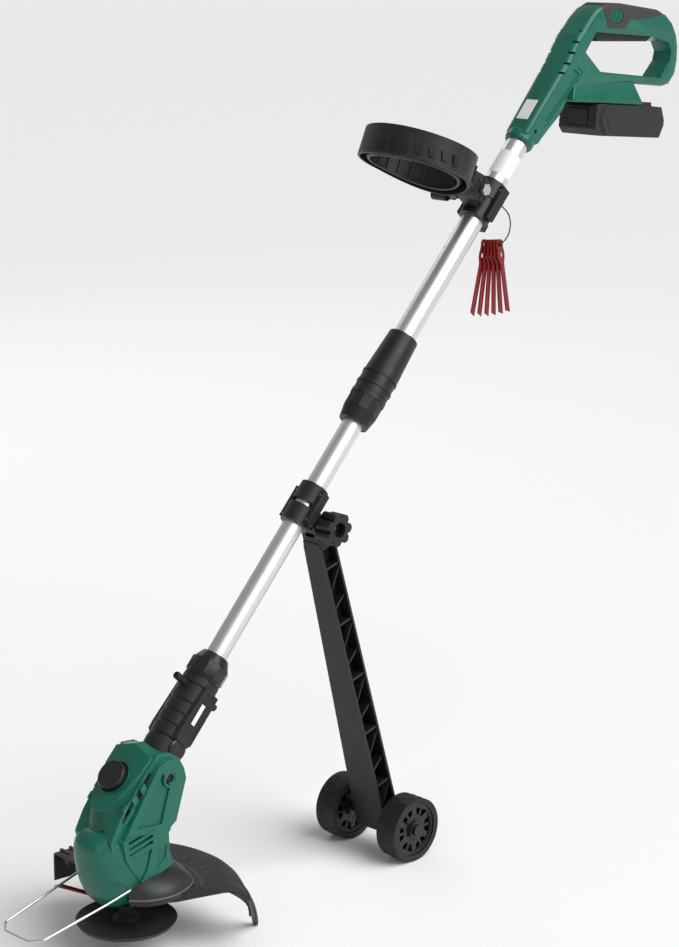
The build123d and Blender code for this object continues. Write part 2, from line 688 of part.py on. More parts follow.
def neck_shell(side):
    """One half of the neck, which turns on the lower tube and carries the tilt axis."""
    shell = neck_solid() - rod(LOWER_TUBE_R + SLIDE_GAP, LOWER_TUBE_SPAN[0] - 1, 130)
    shell -= rod(19.8, LOCK_S - 8, LOCK_S + 8)
    shell -= Pos(0, 0, LOCK_S) * Rot(0, 90, 0) * Cylinder(4.3, 80)
    shell -= Rot(90, 0, 0) * Cylinder(TILT_PIN_R + 0.06, 60)
    shell -= rod(8.0, 20, 34)
    return SHAFT * half(shell, side)


def neck_nut():
    low, high = NECK_SPAN[1] + 0.6, NECK_SPAN[1] + 33
    nut = rod(21.8, low, low + 4) + faceted(23.6, 10, low + 4, low + 21) + taper(22.2, 16.4, low + 21, high)
    return SHAFT * (nut - rod(LOWER_TUBE_R + 0.4, low - 1, high + 1))


def swivel_lock():
    """The cross slider that locks the neck's turn, with a pin out of each side."""
    yoke = rod(17.0, LOCK_S - 4, LOCK_S + 4) & block((32.5, 60, 20), (-0.75, 0, LOCK_S))
    opening = rod(12.9, LOCK_S - 9, LOCK_S + 9)
    yoke -= opening + Pos(-2.5, 0, 0) * opening
    front = Pos(-27.8, 0, LOCK_S) * Rot(0, 90, 0) * Cylinder(3.6, 24.4)
    rear = Pos(27.5, 0, LOCK_S) * Rot(0, 90, 0) * Cylinder(4.1, 25)
    return SHAFT * (yoke + front + rear)


def lock_slider_spring():
    return SHAFT * Pos(0, 16.2, LOCK_S + 5.8) * Rot(0, 90, 0) * Cylinder(1.5, 9)


# ---- cutting head ----
HEAD_OUTLINE = [
    (-22.0, 39.0), (-2.0, 40.0), (20.0, 20.0), (27.0, 2.0), (31.0, -9.0), (14.0, -56.0), (-4.0, -66.0), (5.0, -104.0),
    (-28.0, -112.0), (-89.0, -112.0), (-98.0, -84.0), (-99.5, -68.0), (-94.0, -60.0), (-84.0, -53.0), (-82.0, -31.0), (-80.0, -25.0),
]
HEAD_PLAN = [
    (-104.0, 7.0), (-99.0, 13.0), (-94.0, 21.0), (-85.0, 28.5), (-70.0, 34.0), (-55.0, HEAD_HALF_WIDTH),
    (6.0, HEAD_HALF_WIDTH), (18.0, 33.0), (35.0, 24.0),
]
NECK_SLOT = [
    (-24.0, -6.0), (-22.6, 6.0), (-10.0, 56.0), (60.0, 60.0), (60.0, 9.0), (11.8, -20.2), (0.0, -25.0), (-17.0, -19.0),
]
BUTTON_S = -30.5
BUTTON_R = 17.5
BUTTON_FACE_T = -41.4
WIRE_HINGE = (-64.0, -111.0)
WIRE_R = 1.5
HEAD_SCREWS = [(-2.0, -40.0), (-70.0, -96.0), (-4.0, -92.0), (-66.0, -40.0)]
HEAD_SCREW_REACH = 22.0


def head_solid(inset):
    """The head's outer form, moved inwards by inset on every wall."""
    reach = HEAD_HALF_WIDTH + 6
    body = inset_prism(HEAD_OUTLINE, inset, -reach, reach) & plan_envelope(HEAD_PLAN, inset, -150, 60)
    bowl = Pos(-46, 0, -143 + inset) * Cone(33 - inset, 44 - inset, 32 + inset, align=BASE)
    return body + (bowl & plan_envelope(HEAD_PLAN, inset, -150, 60))


def button_bore(radius, low, high):
    """A round bar along the button's axis, square to the shaft."""
    return SHAFT * Pos(low, 0, BUTTON_S) * Rot(0, 90, 0) * Cylinder(radius, high - low, align=BASE)


def head_shell(side):
    """One half of the cutting head's casing."""
    shell = head_solid(0) - head_solid(WALL)
    shell -= side_prism(NECK_SLOT, -23.5, 23.5)
    shell -= button_bore(BUTTON_R + 0.5, -60, -34)
    shell -= Pos(SPINDLE_X, 0, -150) * Cylinder(11.0, 12, align=BASE)
    shell -= cross_rod(TILT_PIN_R, -34, 34, 0, 0)
    shell -= cross_rod(WIRE_R + 0.1, -60, 60, *WIRE_HINGE)
    for rise in (0.0, -8.0, -16.0):
        slot = side_prism([(-62, -56 + rise), (-29, -50 + rise), (-29, -53.6 + rise), (-62, -59.6 + rise)], -60, 60)
        shell -= slot
    for x, z in HEAD_SCREWS:
        shell += cross_rod(BOSS_R, -HEAD_SCREW_REACH - 12, HEAD_SCREW_REACH + 12, x, z) & head_solid(1)
        shell -= cross_rod(SCREW_R + 0.05, -HEAD_SCREW_REACH - 0.5, 60, x, z)
    return half(shell, side)


def head_screws():
    return Compound(children=[cross_rod(SCREW_R, -HEAD_SCREW_REACH, HEAD_SCREW_REACH, x, z) for x, z in HEAD_SCREWS])


def tilt_pin():
    return cross_rod(TILT_PIN_R, -34, 34, 0, 0)


def tilt_button():
    cap = button_bore(BUTTON_R, BUTTON_FACE_T - 8, BUTTON_FACE_T + 6)
    return cap + button_bore(7.0, BUTTON_FACE_T + 5, BUTTON_FACE_T + 11)


def tilt_button_spring():
    return button_bore(5.0, BUTTON_FACE_T + 11.2, BUTTON_FACE_T + 18)


def at_spindle(shape):
    return Pos(SPINDLE_X, 0, 0) * shape


def motor_can():
    low, high = MOTOR_SPAN
    can = ring(MOTOR_R, MOTOR_R - 1.6, low, high) + ring(MOTOR_R, 7.0, high - 1.6, high) + ring(7.5, 2.6, high - 1.6, high + 4)
    magnets = ring(MOTOR_R - 1.6, MOTOR_R - 3.4, low + 6, high - 8) & block((60, 22, 200), (0, 0, -90))
    return at_spindle(can + magnets)


def motor_endcap():
    low = MOTOR_SPAN[0]
    return at_spindle(ring(MOTOR_R + 4, 2.6, low - 4.2, low - 0.2) + ring(9.0, 2.6, low - 11, low - 4))


def motor_armature():
    low, high = MOTOR_SPAN
    shaft = rod(2.5, DISC_Z + DISC_THICK + 8, high + 6)
    core = rod(MOTOR_R - 4.2, low + 8, high - 12) + rod(8.0, high - 11, high - 5)
    return at_spindle(shaft + core)


def glide_disc():
    low = DISC_Z
    disc = taper(DISC_R - 3, DISC_R, low, low + DISC_THICK) + taper(16, 9.5, low + DISC_THICK, low + DISC_THICK + 6)
    disc += rod(9.0, low + DISC_THICK, low + DISC_THICK + 17)
    disc -= rod(2.5, low + DISC_THICK + 8, low + 60)
    disc = at_spindle(disc)
    pin = Pos(*BLADE_PIN, low + DISC_THICK - 1) * Cylinder(2.5, 10, align=BASE)
    shoulder = Pos(*BLADE_PIN, low + DISC_THICK - 1) * Cylinder(5.0, 5, align=BASE)
    cap = Pos(*BLADE_PIN, BLADE_Z + 1.6) * Cylinder(3.6, 1.6, align=BASE)
    return disc + pin + shoulder + cap


def cutting_blade():
    return Pos(*BLADE_PIN, BLADE_Z + 0.1) * Rot(0, 0, BLADE_HEADING) * blade_shape(BLADE_LENGTH - 4, 2.0)


def sector(radius, start, end, z_low, z_high):
    """A pie-shaped region about the spindle, wide enough to cut rings with."""
    steps = 8
    points = [(0.0, 0.0)]
    for step in range(steps + 1):
        angle = radians(start + (end - start) * step / steps)
        points.append((radius * cos(angle), radius * sin(angle)))
    return at_spindle(plan_prism(points, z_low, z_high))


def turned(points):
    """A profile of radius and height turned about the spindle."""
    outline = Polyline(*[(r, 0, z) for r, z in points], close=True)
    return at_spindle(revolve(make_face(outline), axis=Axis.Z))


# The tail's sections: angle about the spindle, radius, height, half of the run and thickness.
TAIL_STATIONS = [
    (-34.0, 133.5, -131.5, 17.0, 5.0), (-31.5, 140.5, -152.0, 16.0, 5.0), (-28.0, 145.5, -166.0, 12.5, 4.8),
    (-24.5, 152.0, -186.0, 9.0, 4.4), (-20.5, 157.5, -TILT_AXIS_HEIGHT, 5.0, 4.0),
]
# The guard's section: radius and height, over its top from the inside and back underneath.
GUARD_TOP = [(46.0, -129.4), (80.0, -130.0), (115.0, -131.0), (126.0, -133.5), (134.0, -139.0), (139.0, -147.0), (GUARD_R, -156.0)]
GUARD_UNDER = [(138.0, -156.0), (136.0, -148.0), (131.3, -141.5), (124.3, -136.6), (114.0, -134.0), (80.0, -133.0), (46.0, -132.4)]
GUARD_WING = [(138.0, -154.0), (GUARD_R, -154.0), (140.5, -170.0), (137.5, -170.0)]
GUARD_LIP = [(46.0, -131.0), (46.0, -149.0), (76.0, -144.0), (110.0, -136.5), (124.0, -135.5), (124.0, -134.0), (110.0, -131.5)]
LIP_THICK = 3.0


def guard_tail():
    """The near tail of the guard, a claw that flares out and comes down to the ground."""
    sections = []
    for angle, radius, z, half_run, thick in TAIL_STATIONS:
        place = Pos(SPINDLE_X + radius * cos(radians(angle)), radius * sin(radians(angle)), z) * Rot(0, 0, angle)
        sections.append(place * Rectangle(thick, 2 * half_run))
    return loft(sections)


def blade_guard():
    """The swept guard behind the blade: a plate with a rolled rim, a near lip, a far wing and the tail."""
    guard = turned(GUARD_TOP + GUARD_UNDER) & sector(400, *GUARD_ARC, -250, 0)
    wing = turned(GUARD_WING) & sector(400, 70, GUARD_ARC[1], -250, 0)
    lip = at_spindle(Rot(0, 0, GUARD_ARC[0]) * side_prism(GUARD_LIP, 0, LIP_THICK))
    return guard + wing + lip + guard_tail()


def guard_dome():
    """The smooth shroud between the casing and the guard."""
    dome = turned([(30, -106), (54, -108), (70, -116), (76, -125), (76, -128.8), (73.5, -128.8), (72, -122), (53, -111), (30, -109)])
    dome = dome & sector(400, -100, 100, -250, 0)
    return dome - head_solid(0)


def wire_path():
    """The wire guard's middle line, from one hinge stub to the other."""
    x, z = WIRE_HINGE
    front_x, front_z = -192.0, -136.0
    near = [(x, -31, z), (x, -41, z), (-98, -39.5, -118), (front_x + 8, -33, front_z + 1.6), (front_x - 1.5, -20, front_z - 0.3)]
    far = [(px, -py, pz) for px, py, pz in reversed(near)]
    return near + far


def wire_guard():
    path = FilletPolyline(*wire_path(), radius=[4.0, 40.0, 8.0, 8.0, 8.0, 8.0, 40.0, 4.0])
    start = Plane(origin=path @ 0, z_dir=path % 0)
    return sweep(start * Circle(WIRE_R), path=path)


PARTS = {
    "upper_tube": upper_tube,
    "lower_tube": lower_tube,
    "power_lead": power_lead,
    "motor_lead": motor_lead,
    "coupling_nut": coupling_nut,
    "coupling_sleeve": coupling_sleeve,
    "coupling_collet": coupling_collet,
    "handle_shell_left": lambda: handle_shell(-1),
    "handle_shell_right": lambda: handle_shell(1),
    "grip_overmould": lambda: grip_pad_solid() - lock_button_bore(LOCK_BORE_R, -30, 0),
    "handle_screws": handle_screws,
    "trigger": trigger,
    "trigger_spring": trigger_spring,
    "lock_off_button": lock_button,
    "lock_off_spring": lock_spring,
    "trigger_switch": trigger_switch,
    "control_board": control_board,
    "terminal_block": terminal_block,
    "battery_tray": lambda: battery_case(-1),
    "battery_lid": lambda: battery_case(1),
    "battery_cells": battery_cells,
    "battery_latch": battery_latch,
    "battery_latch_spring": latch_spring,
    "loop_handle": loop_handle,
    "aux_clamp_collar": lambda: aux_clamp(-1),
    "aux_clamp_jaw": lambda: aux_clamp(1),
    "aux_clamp_bolts": aux_bolts,
    "aux_knob": aux_knob,
    "spare_blades": spare_blades,
    "string_loop": string_loop,
    "string_knot": string_knot,
    "strut_clamp_collar": lambda: strut_clamp(-1),
    "strut_clamp_jaw": lambda: strut_clamp(1),
    "strut_clamp_bolts": strut_bolts,
    "strut_knob": strut_knob,
    "wheel_strut": wheel_strut,
    "wheel_axle": wheel_axle,
    "wheel_tread_left": lambda: wheel_tread(-1),
    "wheel_tread_right": lambda: wheel_tread(1),
    "wheel_hub_left": lambda: wheel_hub(-1),
    "wheel_hub_right": lambda: wheel_hub(1),
    "neck_shell_left": lambda: neck_shell(-1),
    "neck_shell_right": lambda: neck_shell(1),
    "neck_nut": neck_nut,
    "swivel_lock": swivel_lock,
    "swivel_lock_spring": lock_slider_spring,
    "head_shell_left": lambda: head_shell(-1),
    "head_shell_right": lambda: head_shell(1),
    "head_screws": head_screws,
    "tilt_pin": tilt_pin,
    "tilt_button": tilt_button,
    "tilt_button_spring": tilt_button_spring,
    "motor_can": motor_can,
    "motor_endcap": motor_endcap,
    "motor_armature": motor_armature,
    "glide_disc": glide_disc,
    "cutting_blade": cutting_blade,
    "blade_guard": blade_guard,
    "guard_dome": guard_dome,
    "wire_guard": wire_guard,
}

os.makedirs("parts", exist_ok=True)
for node, make in PARTS.items():
    export_step(Pos(*FRAME_SHIFT) * make(), f"parts/{node}.step")
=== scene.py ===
import json
from math import cos, pi, radians, sin, sqrt

import bmesh
import bpy
from mathutils import Matrix, Vector


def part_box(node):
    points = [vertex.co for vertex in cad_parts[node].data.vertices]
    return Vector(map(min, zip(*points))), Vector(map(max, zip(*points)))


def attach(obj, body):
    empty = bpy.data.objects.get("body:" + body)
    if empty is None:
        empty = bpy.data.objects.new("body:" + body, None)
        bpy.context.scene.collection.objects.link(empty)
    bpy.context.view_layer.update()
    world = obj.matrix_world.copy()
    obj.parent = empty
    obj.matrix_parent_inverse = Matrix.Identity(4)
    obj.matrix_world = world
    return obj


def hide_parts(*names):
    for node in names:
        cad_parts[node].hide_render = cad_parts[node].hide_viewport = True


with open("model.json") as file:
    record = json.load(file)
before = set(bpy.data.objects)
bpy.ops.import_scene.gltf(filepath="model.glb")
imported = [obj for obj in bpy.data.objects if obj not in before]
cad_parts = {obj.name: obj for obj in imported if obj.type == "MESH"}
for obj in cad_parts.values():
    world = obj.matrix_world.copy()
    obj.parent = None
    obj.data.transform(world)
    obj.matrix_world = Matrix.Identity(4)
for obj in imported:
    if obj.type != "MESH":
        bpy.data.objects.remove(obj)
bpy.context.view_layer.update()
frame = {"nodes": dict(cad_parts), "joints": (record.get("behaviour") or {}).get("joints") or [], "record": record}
NODES = frame["nodes"]
JOINTS = {j["name"]: j for j in frame["joints"]}

# Points are written in millimetres from the head's tilt axis, +Z up, -X towards the cutting head.
PIVOT = Vector(JOINTS["head_tilt"]["pos_m"])
UP_SHAFT = Vector(JOINTS["neck_swivel"]["axis"]).normalized()
BELOW = Vector((UP_SHAFT.z, 0, -UP_SHAFT.x))
MM = 0.001


def at(x, y, z):
    """A point of the machine in metres."""
    return PIVOT + Vector((x, y, z)) * MM


def shaft_at(along, below, y=0.0):
    """A point by its distance up the shaft and below the shaft's axis, in millimetres from the tilt axis."""
    p = UP_SHAFT * along + BELOW * below
    return (p.x, y, p.z)


# ---- camera ----
def make_camera():
    data = bpy.data.cameras.new("camera")
    data.lens = 89.33
    data.sensor_width = 36.0
    camera = bpy.data.objects.new("camera", data)
    bpy.context.scene.collection.objects.link(camera)
    right = Vector((0.6947, -0.7193, 0.0)).normalized()
    back = Vector((-0.6974, -0.6734, 0.2453)).normalized()
    up = back.cross(right).normalized()
    turn = Matrix((right, up, back)).transposed()
    camera.matrix_world = Matrix.Translation(at(-1632.6, -1874.2, 970.3)) @ turn.to_4x4()
    bpy.context.scene.camera = camera


make_camera()


# ---- materials ----
def new_material(name):
    material = bpy.data.materials.new(name)
    material.use_nodes = True
    return material, material.node_tree.nodes, material.node_tree.links


def add(nodes, kind, **values):
    """A node of that kind with its inputs set by name."""
    node = nodes.new(kind)
    for key, value in values.items():
        node.inputs[key.replace("_", " ")].default_value = value
    return node


def mixed_colour(nodes, links, factor, low, high):
    mix = nodes.new("ShaderNodeMix")
    mix.data_type = "RGBA"
    mix.inputs["A"].default_value = (*low, 1)
    mix.inputs["B"].default_value = (*high, 1)
    links.new(factor, mix.inputs["Factor"])
    return mix.outputs["Result"]


def span(nodes, links, source, from_low, from_high, to_low, to_high):
    node = nodes.new("ShaderNodeMapRange")
    node.inputs["From Min"].default_value = from_low
    node.inputs["From Max"].default_value = from_high
    node.inputs["To Min"].default_value = to_low
    node.inputs["To Max"].default_value = to_high
    links.new(source, node.inputs["Value"])
    return node.outputs["Result"]


def edge_wear(nodes, links):
    """1 on convex edges and 0 on flat surfaces."""
    geometry = nodes.new("ShaderNodeNewGeometry")
    return span(nodes, links, geometry.outputs["Pointiness"], 0.5, 0.56, 0.0, 1.0)


def moulded(name, colour, rough, grain=900.0, bump=0.02, wear=0.25, spread=0.12, coat=0.0):
    """Moulded plastic or rubber: fine grain, slight colour drift, paler worn edges."""
    material, nodes, links = new_material(name)
    shader = nodes["Principled BSDF"]
    place = nodes.new("ShaderNodeTexCoord").outputs["Object"]
    drift = add(nodes, "ShaderNodeTexNoise", Scale=28.0, Detail=4.0, Roughness=0.6)
    fine = add(nodes, "ShaderNodeTexNoise", Scale=grain, Detail=3.0, Roughness=0.55)
    for node in (drift, fine):
        links.new(place, node.inputs["Vector"])
    dark = tuple(c * (1 - spread) for c in colour)
    light = tuple(min(1.0, c * (1 + spread)) for c in colour)
    base = mixed_colour(nodes, links, drift.outputs["Fac"], dark, light)
    worn = nodes.new("ShaderNodeMix")
    worn.data_type = "RGBA"
    worn.inputs["B"].default_value = (*(min(1.0, c * 1.5 + 0.02) for c in colour), 1)
    links.new(span(nodes, links, edge_wear(nodes, links), 0.0, 1.0, 0.0, wear), worn.inputs["Factor"])
    links.new(base, worn.inputs["A"])
    links.new(worn.outputs["Result"], shader.inputs["Base Color"])
    links.new(span(nodes, links, drift.outputs["Fac"], 0.3, 0.7, rough * 0.85, rough * 1.15),
        shader.inputs["Roughness"])
    relief = add(nodes, "ShaderNodeBump", Strength=bump * 10, Distance=0.0004)
    links.new(fine.outputs["Fac"], relief.inputs["Height"])
    links.new(relief.outputs["Normal"], shader.inputs["Normal"])
    shader.inputs["Specular IOR Level"].default_value = 0.32
    shader.inputs["Coat Weight"].default_value = coat
    shader.inputs["Coat Roughness"].default_value = 0.12
    return material


def metal(name, colour, rough, axis=None, streak=0.12):
    """Bare metal with fine drawing lines along an axis."""
    material, nodes, links = new_material(name)
    shader = nodes["Principled BSDF"]
    shader.inputs["Metallic"].default_value = 1.0
    place = nodes.new("ShaderNodeTexCoord").outputs["Object"]
    if axis is not None:
        mapping = nodes.new("ShaderNodeMapping")
        mapping.vector_type = "TEXTURE"
        mapping.inputs["Rotation"].default_value = Vector(axis).to_track_quat("Z", "Y").to_euler()
        mapping.inputs["Scale"].default_value = (1.0, 1.0, 60.0)
        links.new(place, mapping.inputs["Vector"])
        place = mapping.outputs["Vector"]
    lines = add(nodes, "ShaderNodeTexNoise", Scale=1400.0, Detail=4.0, Roughness=0.6)
    cloud = add(nodes, "ShaderNodeTexNoise", Scale=60.0, Detail=3.0, Roughness=0.5)
    for node in (lines, cloud):
        links.new(place, node.inputs["Vector"])
    low = tuple(c * (1 - streak) for c in colour)
    links.new(mixed_colour(nodes, links, lines.outputs["Fac"], low, colour), shader.inputs["Base Color"])
    links.new(span(nodes, links, cloud.outputs["Fac"], 0.3, 0.7, rough * 0.8, rough * 1.2),
        shader.inputs["Roughness"])
    relief = add(nodes, "ShaderNodeBump", Strength=0.12, Distance=0.0002)
    links.new(lines.outputs["Fac"], relief.inputs["Height"])
    links.new(relief.outputs["Normal"], shader.inputs["Normal"])
    return material


GREEN = moulded("green_shell_plastic", (0.0015, 0.098, 0.066), 0.32, grain=1500.0, bump=0.008, wear=0.35,
    spread=0.07, coat=0.12)
# Painted shade: a darker copy of the shell green, for the skirt under the shield's tip and the lip round the
# button recess.
GREEN_SHADED = moulded("green_painted_shade_plastic", (0.0012, 0.066, 0.044), 0.36, grain=1500.0, bump=0.01,
    wear=0.2, spread=0.08)
BLACK = moulded("black_moulded_plastic", (0.0095, 0.010, 0.0105), 0.42, grain=1100.0, bump=0.03, wear=0.3)
BLACK_GLOSS = moulded("black_smooth_plastic", (0.008, 0.0085, 0.009), 0.30, grain=1300.0, bump=0.012,
    wear=0.3, coat=0.15)
# Painted shade: near-black for the sheets in the pivot bore, behind the vents and in the gap beside the shield.
SHADE_BLACK = moulded("painted_shade_black", (0.004, 0.004, 0.004), 0.6, grain=800.0, bump=0.02, wear=0.1)
SOFT = moulded("soft_grip_rubber", (0.038, 0.030, 0.032), 0.55, grain=700.0, bump=0.05, wear=0.15)
TRIGGER = moulded("trigger_plastic", (0.018, 0.016, 0.016), 0.45, grain=900.0, bump=0.03, wear=0.3)
PACK = moulded("battery_plastic", (0.013, 0.0155, 0.015), 0.5, grain=700.0, bump=0.06, wear=0.25)
PACK_DARK = moulded("battery_dark_plastic", (0.006, 0.0065, 0.007), 0.45, grain=700.0, bump=0.05, wear=0.3)
TYRE = moulded("tyre_rubber", (0.008, 0.008, 0.0085), 0.6, grain=600.0, bump=0.06, wear=0.35)
GUARD = moulded("guard_plastic", (0.016, 0.0165, 0.017), 0.42, grain=900.0, bump=0.03, wear=0.35,
    spread=0.15)
DISC = moulded("disc_plastic", (0.010, 0.010, 0.0105), 0.5, grain=500.0, bump=0.05, wear=0.4, spread=0.25)
RED = moulded("red_blade_plastic", (0.16, 0.003, 0.005), 0.33, grain=900.0, bump=0.02, wear=0.2, coat=0.2)
LABEL = moulded("pale_label", (0.72, 0.74, 0.73), 0.35, grain=900.0, bump=0.01, wear=0.1, spread=0.05)
# Painted highlight: pale grey for the bright line along the shroud's foot.
HIGHLIGHT_GREY = moulded("painted_highlight_grey", (0.09, 0.10, 0.10), 0.4, grain=900.0, bump=0.01, wear=0.0, spread=0.05)
BOARD = moulded("board_plastic", (0.02, 0.16, 0.07), 0.45)
TUBE = metal("tube_aluminium", (0.74, 0.745, 0.75), 0.42, axis=UP_SHAFT, streak=0.06)
STEEL = metal("bright_steel", (0.60, 0.60, 0.59), 0.28, streak=0.1)
CELL = metal("cell_sleeve", (0.25, 0.35, 0.55), 0.4)
STRING = moulded("string_cord", (0.012, 0.012, 0.012), 0.7, grain=2500.0, bump=0.15, wear=0.0)

SLOT_MATERIAL = {
    "green_shell": GREEN, "black_plastic": BLACK, "soft_black": SOFT, "battery_plastic": PACK,
    "tube_aluminium": TUBE,
    "bright_steel": STEEL, "red_plastic": RED, "cell_metal": CELL, "board_green": BOARD,
    "lead_sheath": STRING, "string_black": STRING,
}


# ---- mesh helpers ----
def new_object(name, bm):
    mesh = bpy.data.meshes.new(name)
    bmesh.ops.recalc_face_normals(bm, faces=bm.faces)
    bm.to_mesh(mesh)
    bm.free()
    obj = bpy.data.objects.new(name, mesh)
    bpy.context.scene.collection.objects.link(obj)
    return obj


def from_faces(name, points, faces):
    """A mesh of points in millimetres from the tilt axis."""
    bm = bmesh.new()
    verts = [bm.verts.new(at(*p)) for p in points]
    for face in faces:
        bm.faces.new([verts[i] for i in face])
    return new_object(name, bm)


def extruded(name, low, high):
    """A solid between two outlines with as many points as each other."""
    n = len(low)
    faces = [tuple(range(n)), tuple(range(2 * n - 1, n - 1, -1))]
    faces += [(i, (i + 1) % n, n + (i + 1) % n, n + i) for i in range(n)]
    return from_faces(name, list(low) + list(high), faces)


def slab(name, outline, y_low, y_high):
    """A side outline in x and z, swept across the machine."""
    return extruded(name, [(x, y_low, z) for x, z in outline], [(x, y_high, z) for x, z in outline])


def hull(name, points):
    """The convex solid round some points."""
    bm = bmesh.new()
    for p in points:
        bm.verts.new(at(*p))
    bmesh.ops.convex_hull(bm, input=bm.verts)
    bmesh.ops.dissolve_limit(bm, angle_limit=radians(1.5), verts=bm.verts, edges=bm.edges)
    return new_object(name, bm)


def skinned(name, rings, closed=True, caps=True):
    """A skin over rings of points with as many points as each other."""
    n = len(rings[0])
    faces = []
    for k in range(len(rings) - 1):
        for i in range(n if closed else n - 1):
            j = (i + 1) % n
            faces.append((k * n + i, k * n + j, (k + 1) * n + j, (k + 1) * n + i))
    if caps:
        last = (len(rings) - 1) * n
        faces += [tuple(range(n)), tuple(range(last + n - 1, last - 1, -1))]
    return from_faces(name, [p for ring in rings for p in ring], faces)


def turned(name, profile, centre, axis, steps=72, start=0.0, end=360.0):
    """A profile of (radius, distance along the axis), turned about an axis through a point."""
    axis = Vector(axis).normalized()
    side = axis.orthogonal().normalized() if abs(axis.z) < 0.99 else Vector((1, 0, 0))
    other = axis.cross(side)
    full = abs(end - start) >= 360
    rings = []
    for k in range(steps if full else steps + 1):
        a = radians(start + (end - start) * k / steps)
        out = side * cos(a) + other * sin(a)
        rings.append([tuple(Vector(centre) + out * r + axis * h) for r, h in profile])
    if full:
        rings.append(rings[0])
    obj = skinned(name, rings, closed=True, caps=not full)
    bm = bmesh.new()
    bm.from_mesh(obj.data)
    bmesh.ops.remove_doubles(bm, verts=bm.verts, dist=1e-6)
    bmesh.ops.recalc_face_normals(bm, faces=bm.faces)
    bm.to_mesh(obj.data)
    bm.free()
    return obj


def cad_copy(name, node):
    """A new piece with the form of a CAD node, its flat faces joined again."""
    bm = bmesh.new()
    bm.from_mesh(NODES[node].data)
    bmesh.ops.remove_doubles(bm, verts=bm.verts, dist=2e-6)
    bmesh.ops.dissolve_limit(bm, angle_limit=radians(1.0), verts=bm.verts, edges=bm.edges)
    return new_object(name, bm)


def bake(obj):
    """The object's mesh with its modifiers applied."""
    graph = bpy.context.evaluated_depsgraph_get()
    mesh = bpy.data.meshes.new_from_object(obj.evaluated_get(graph))
    obj.modifiers.clear()
    obj.data = mesh


def combine(obj, tool, operation):
    """A boolean of obj with a tool, which is used up."""
    modifier = obj.modifiers.new("combine", "BOOLEAN")
    modifier.operation = operation
    modifier.solver = "EXACT"
    modifier.object = tool
    bake(obj)
    bpy.data.objects.remove(tool)


def cut(obj, *tools):
    for tool in tools:
        combine(obj, tool, "DIFFERENCE")


def rounded(obj, width, segments=3, angle=28.0):
    """Moulded edges: a bevel on every sharp edge, with smooth shading between."""
    if width:
        bevel = obj.modifiers.new("edges", "BEVEL")
        bevel.width = width * MM
        bevel.segments = segments
        bevel.limit_method = "ANGLE"
        bevel.angle_limit = radians(angle)
        bevel.harden_normals = True
        bevel.use_clamp_overlap = True
    for polygon in obj.data.polygons:
        polygon.use_smooth = True
    obj.data.set_sharp_from_angle(angle=radians(38))
    return obj


def placed(obj, body, material, replaces=()):
    """Gives a finished piece its material and body, and hides the CAD nodes it stands for."""
    obj.data.materials.clear()
    obj.data.materials.append(material)
    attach(obj, body)
    if replaces:
        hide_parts(*replaces)
    return obj


def both_sides(make):
    """Runs a maker for the near side, -1, and the far side, 1."""
    for side, word in ((-1, "near"), (1, "far")):
        make(side, word)


# ---- cord: the string that carries the spare blades ----
def string_line():
    route = [
        shaft_at(829, 26.4), (604.5, -1.5, 571.5), (610.0, -3.0, 562.5), (609.5, -5.0, 552.0),
        (603.5, -7.5, 542.5), (594.0, -10.0, 536.0), (584.0, -11.5, 532.5),
    ]
    data = bpy.data.curves.new("spare_string", "CURVE")
    data.dimensions = "3D"
    spline = data.splines.new("NURBS")
    spline.points.add(len(route) - 1)
    for point, place in zip(spline.points, route):
        point.co = (*at(*place), 1)
    spline.order_u = 3
    spline.use_endpoint_u = True
    spline.resolution_u = 12
    data.bevel_depth = 0.8 * MM
    data.bevel_resolution = 4
    data.use_fill_caps = True
    data.materials.append(STRING)
    obj = bpy.data.objects.new("spare_string", data)
    bpy.context.scene.collection.objects.link(obj)
    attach(obj, "spares")
    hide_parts("string_loop")


string_line()


# ---- plain CAD forms with moulded edges ----
REFINED = {
    "coupling_nut": ("coupling_nut", "black_plastic", BLACK, 0.8),
    "coupling_sleeve": ("root", "black_plastic", BLACK, 0.8),
    "trigger": ("trigger", "black_plastic", TRIGGER, 1.0),
    "battery_tray": ("battery", "battery_plastic", PACK, 1.2),
    "battery_lid": ("battery", "battery_plastic", PACK, 1.2),
    "battery_latch": ("battery_latch", "battery_plastic", PACK, 0.8),
    "aux_clamp_collar": ("aux_clamp", "black_plastic", BLACK, 0.9),
    "aux_clamp_jaw": ("aux_clamp", "black_plastic", BLACK, 0.9),
    "aux_clamp_bolts": ("aux_clamp", "bright_steel", STEEL, 0.4),
    "aux_knob": ("aux_knob", "black_plastic", BLACK, 1.6),
    "strut_clamp_collar": ("wheel_clamp", "black_plastic", BLACK, 0.9),
    "strut_clamp_jaw": ("wheel_clamp", "black_plastic", BLACK, 0.9),
    "strut_clamp_bolts": ("wheel_clamp", "bright_steel", STEEL, 0.4),
    "strut_knob": ("strut_knob", "black_plastic", BLACK, 1.6),
    "wheel_strut": ("strut", "black_plastic", BLACK, 0.7),
    "wheel_axle": ("strut", "bright_steel", BLACK_GLOSS, 0.5),
    "wheel_tread_left": ("wheel_left", "black_plastic", TYRE, 0.6),
    "wheel_tread_right": ("wheel_right", "black_plastic", TYRE, 0.6),
    "wheel_hub_left": ("wheel_left", "black_plastic", BLACK_GLOSS, 0.7),
    "wheel_hub_right": ("wheel_right", "black_plastic", BLACK_GLOSS, 0.7),
    "neck_nut": ("neck_nut", "black_plastic", BLACK_GLOSS, 1.0),
    "swivel_lock": ("swivel_lock", "black_plastic", BLACK, 0.7),
    "glide_disc": ("rotor", "black_plastic", DISC, 0.8),
    "cutting_blade": ("blade", "red_plastic", RED, 0.4),
    "spare_blades": ("spares", "red_plastic", RED, 0.4),
    "tilt_button": ("tilt_button", "black_plastic", BLACK_GLOSS, 1.6),
}


def refine_nodes():
    for node, (body, slot, material, width) in REFINED.items():
        placed(rounded(cad_copy(node + "_piece", node), width), body, material, [node])


refine_nodes()


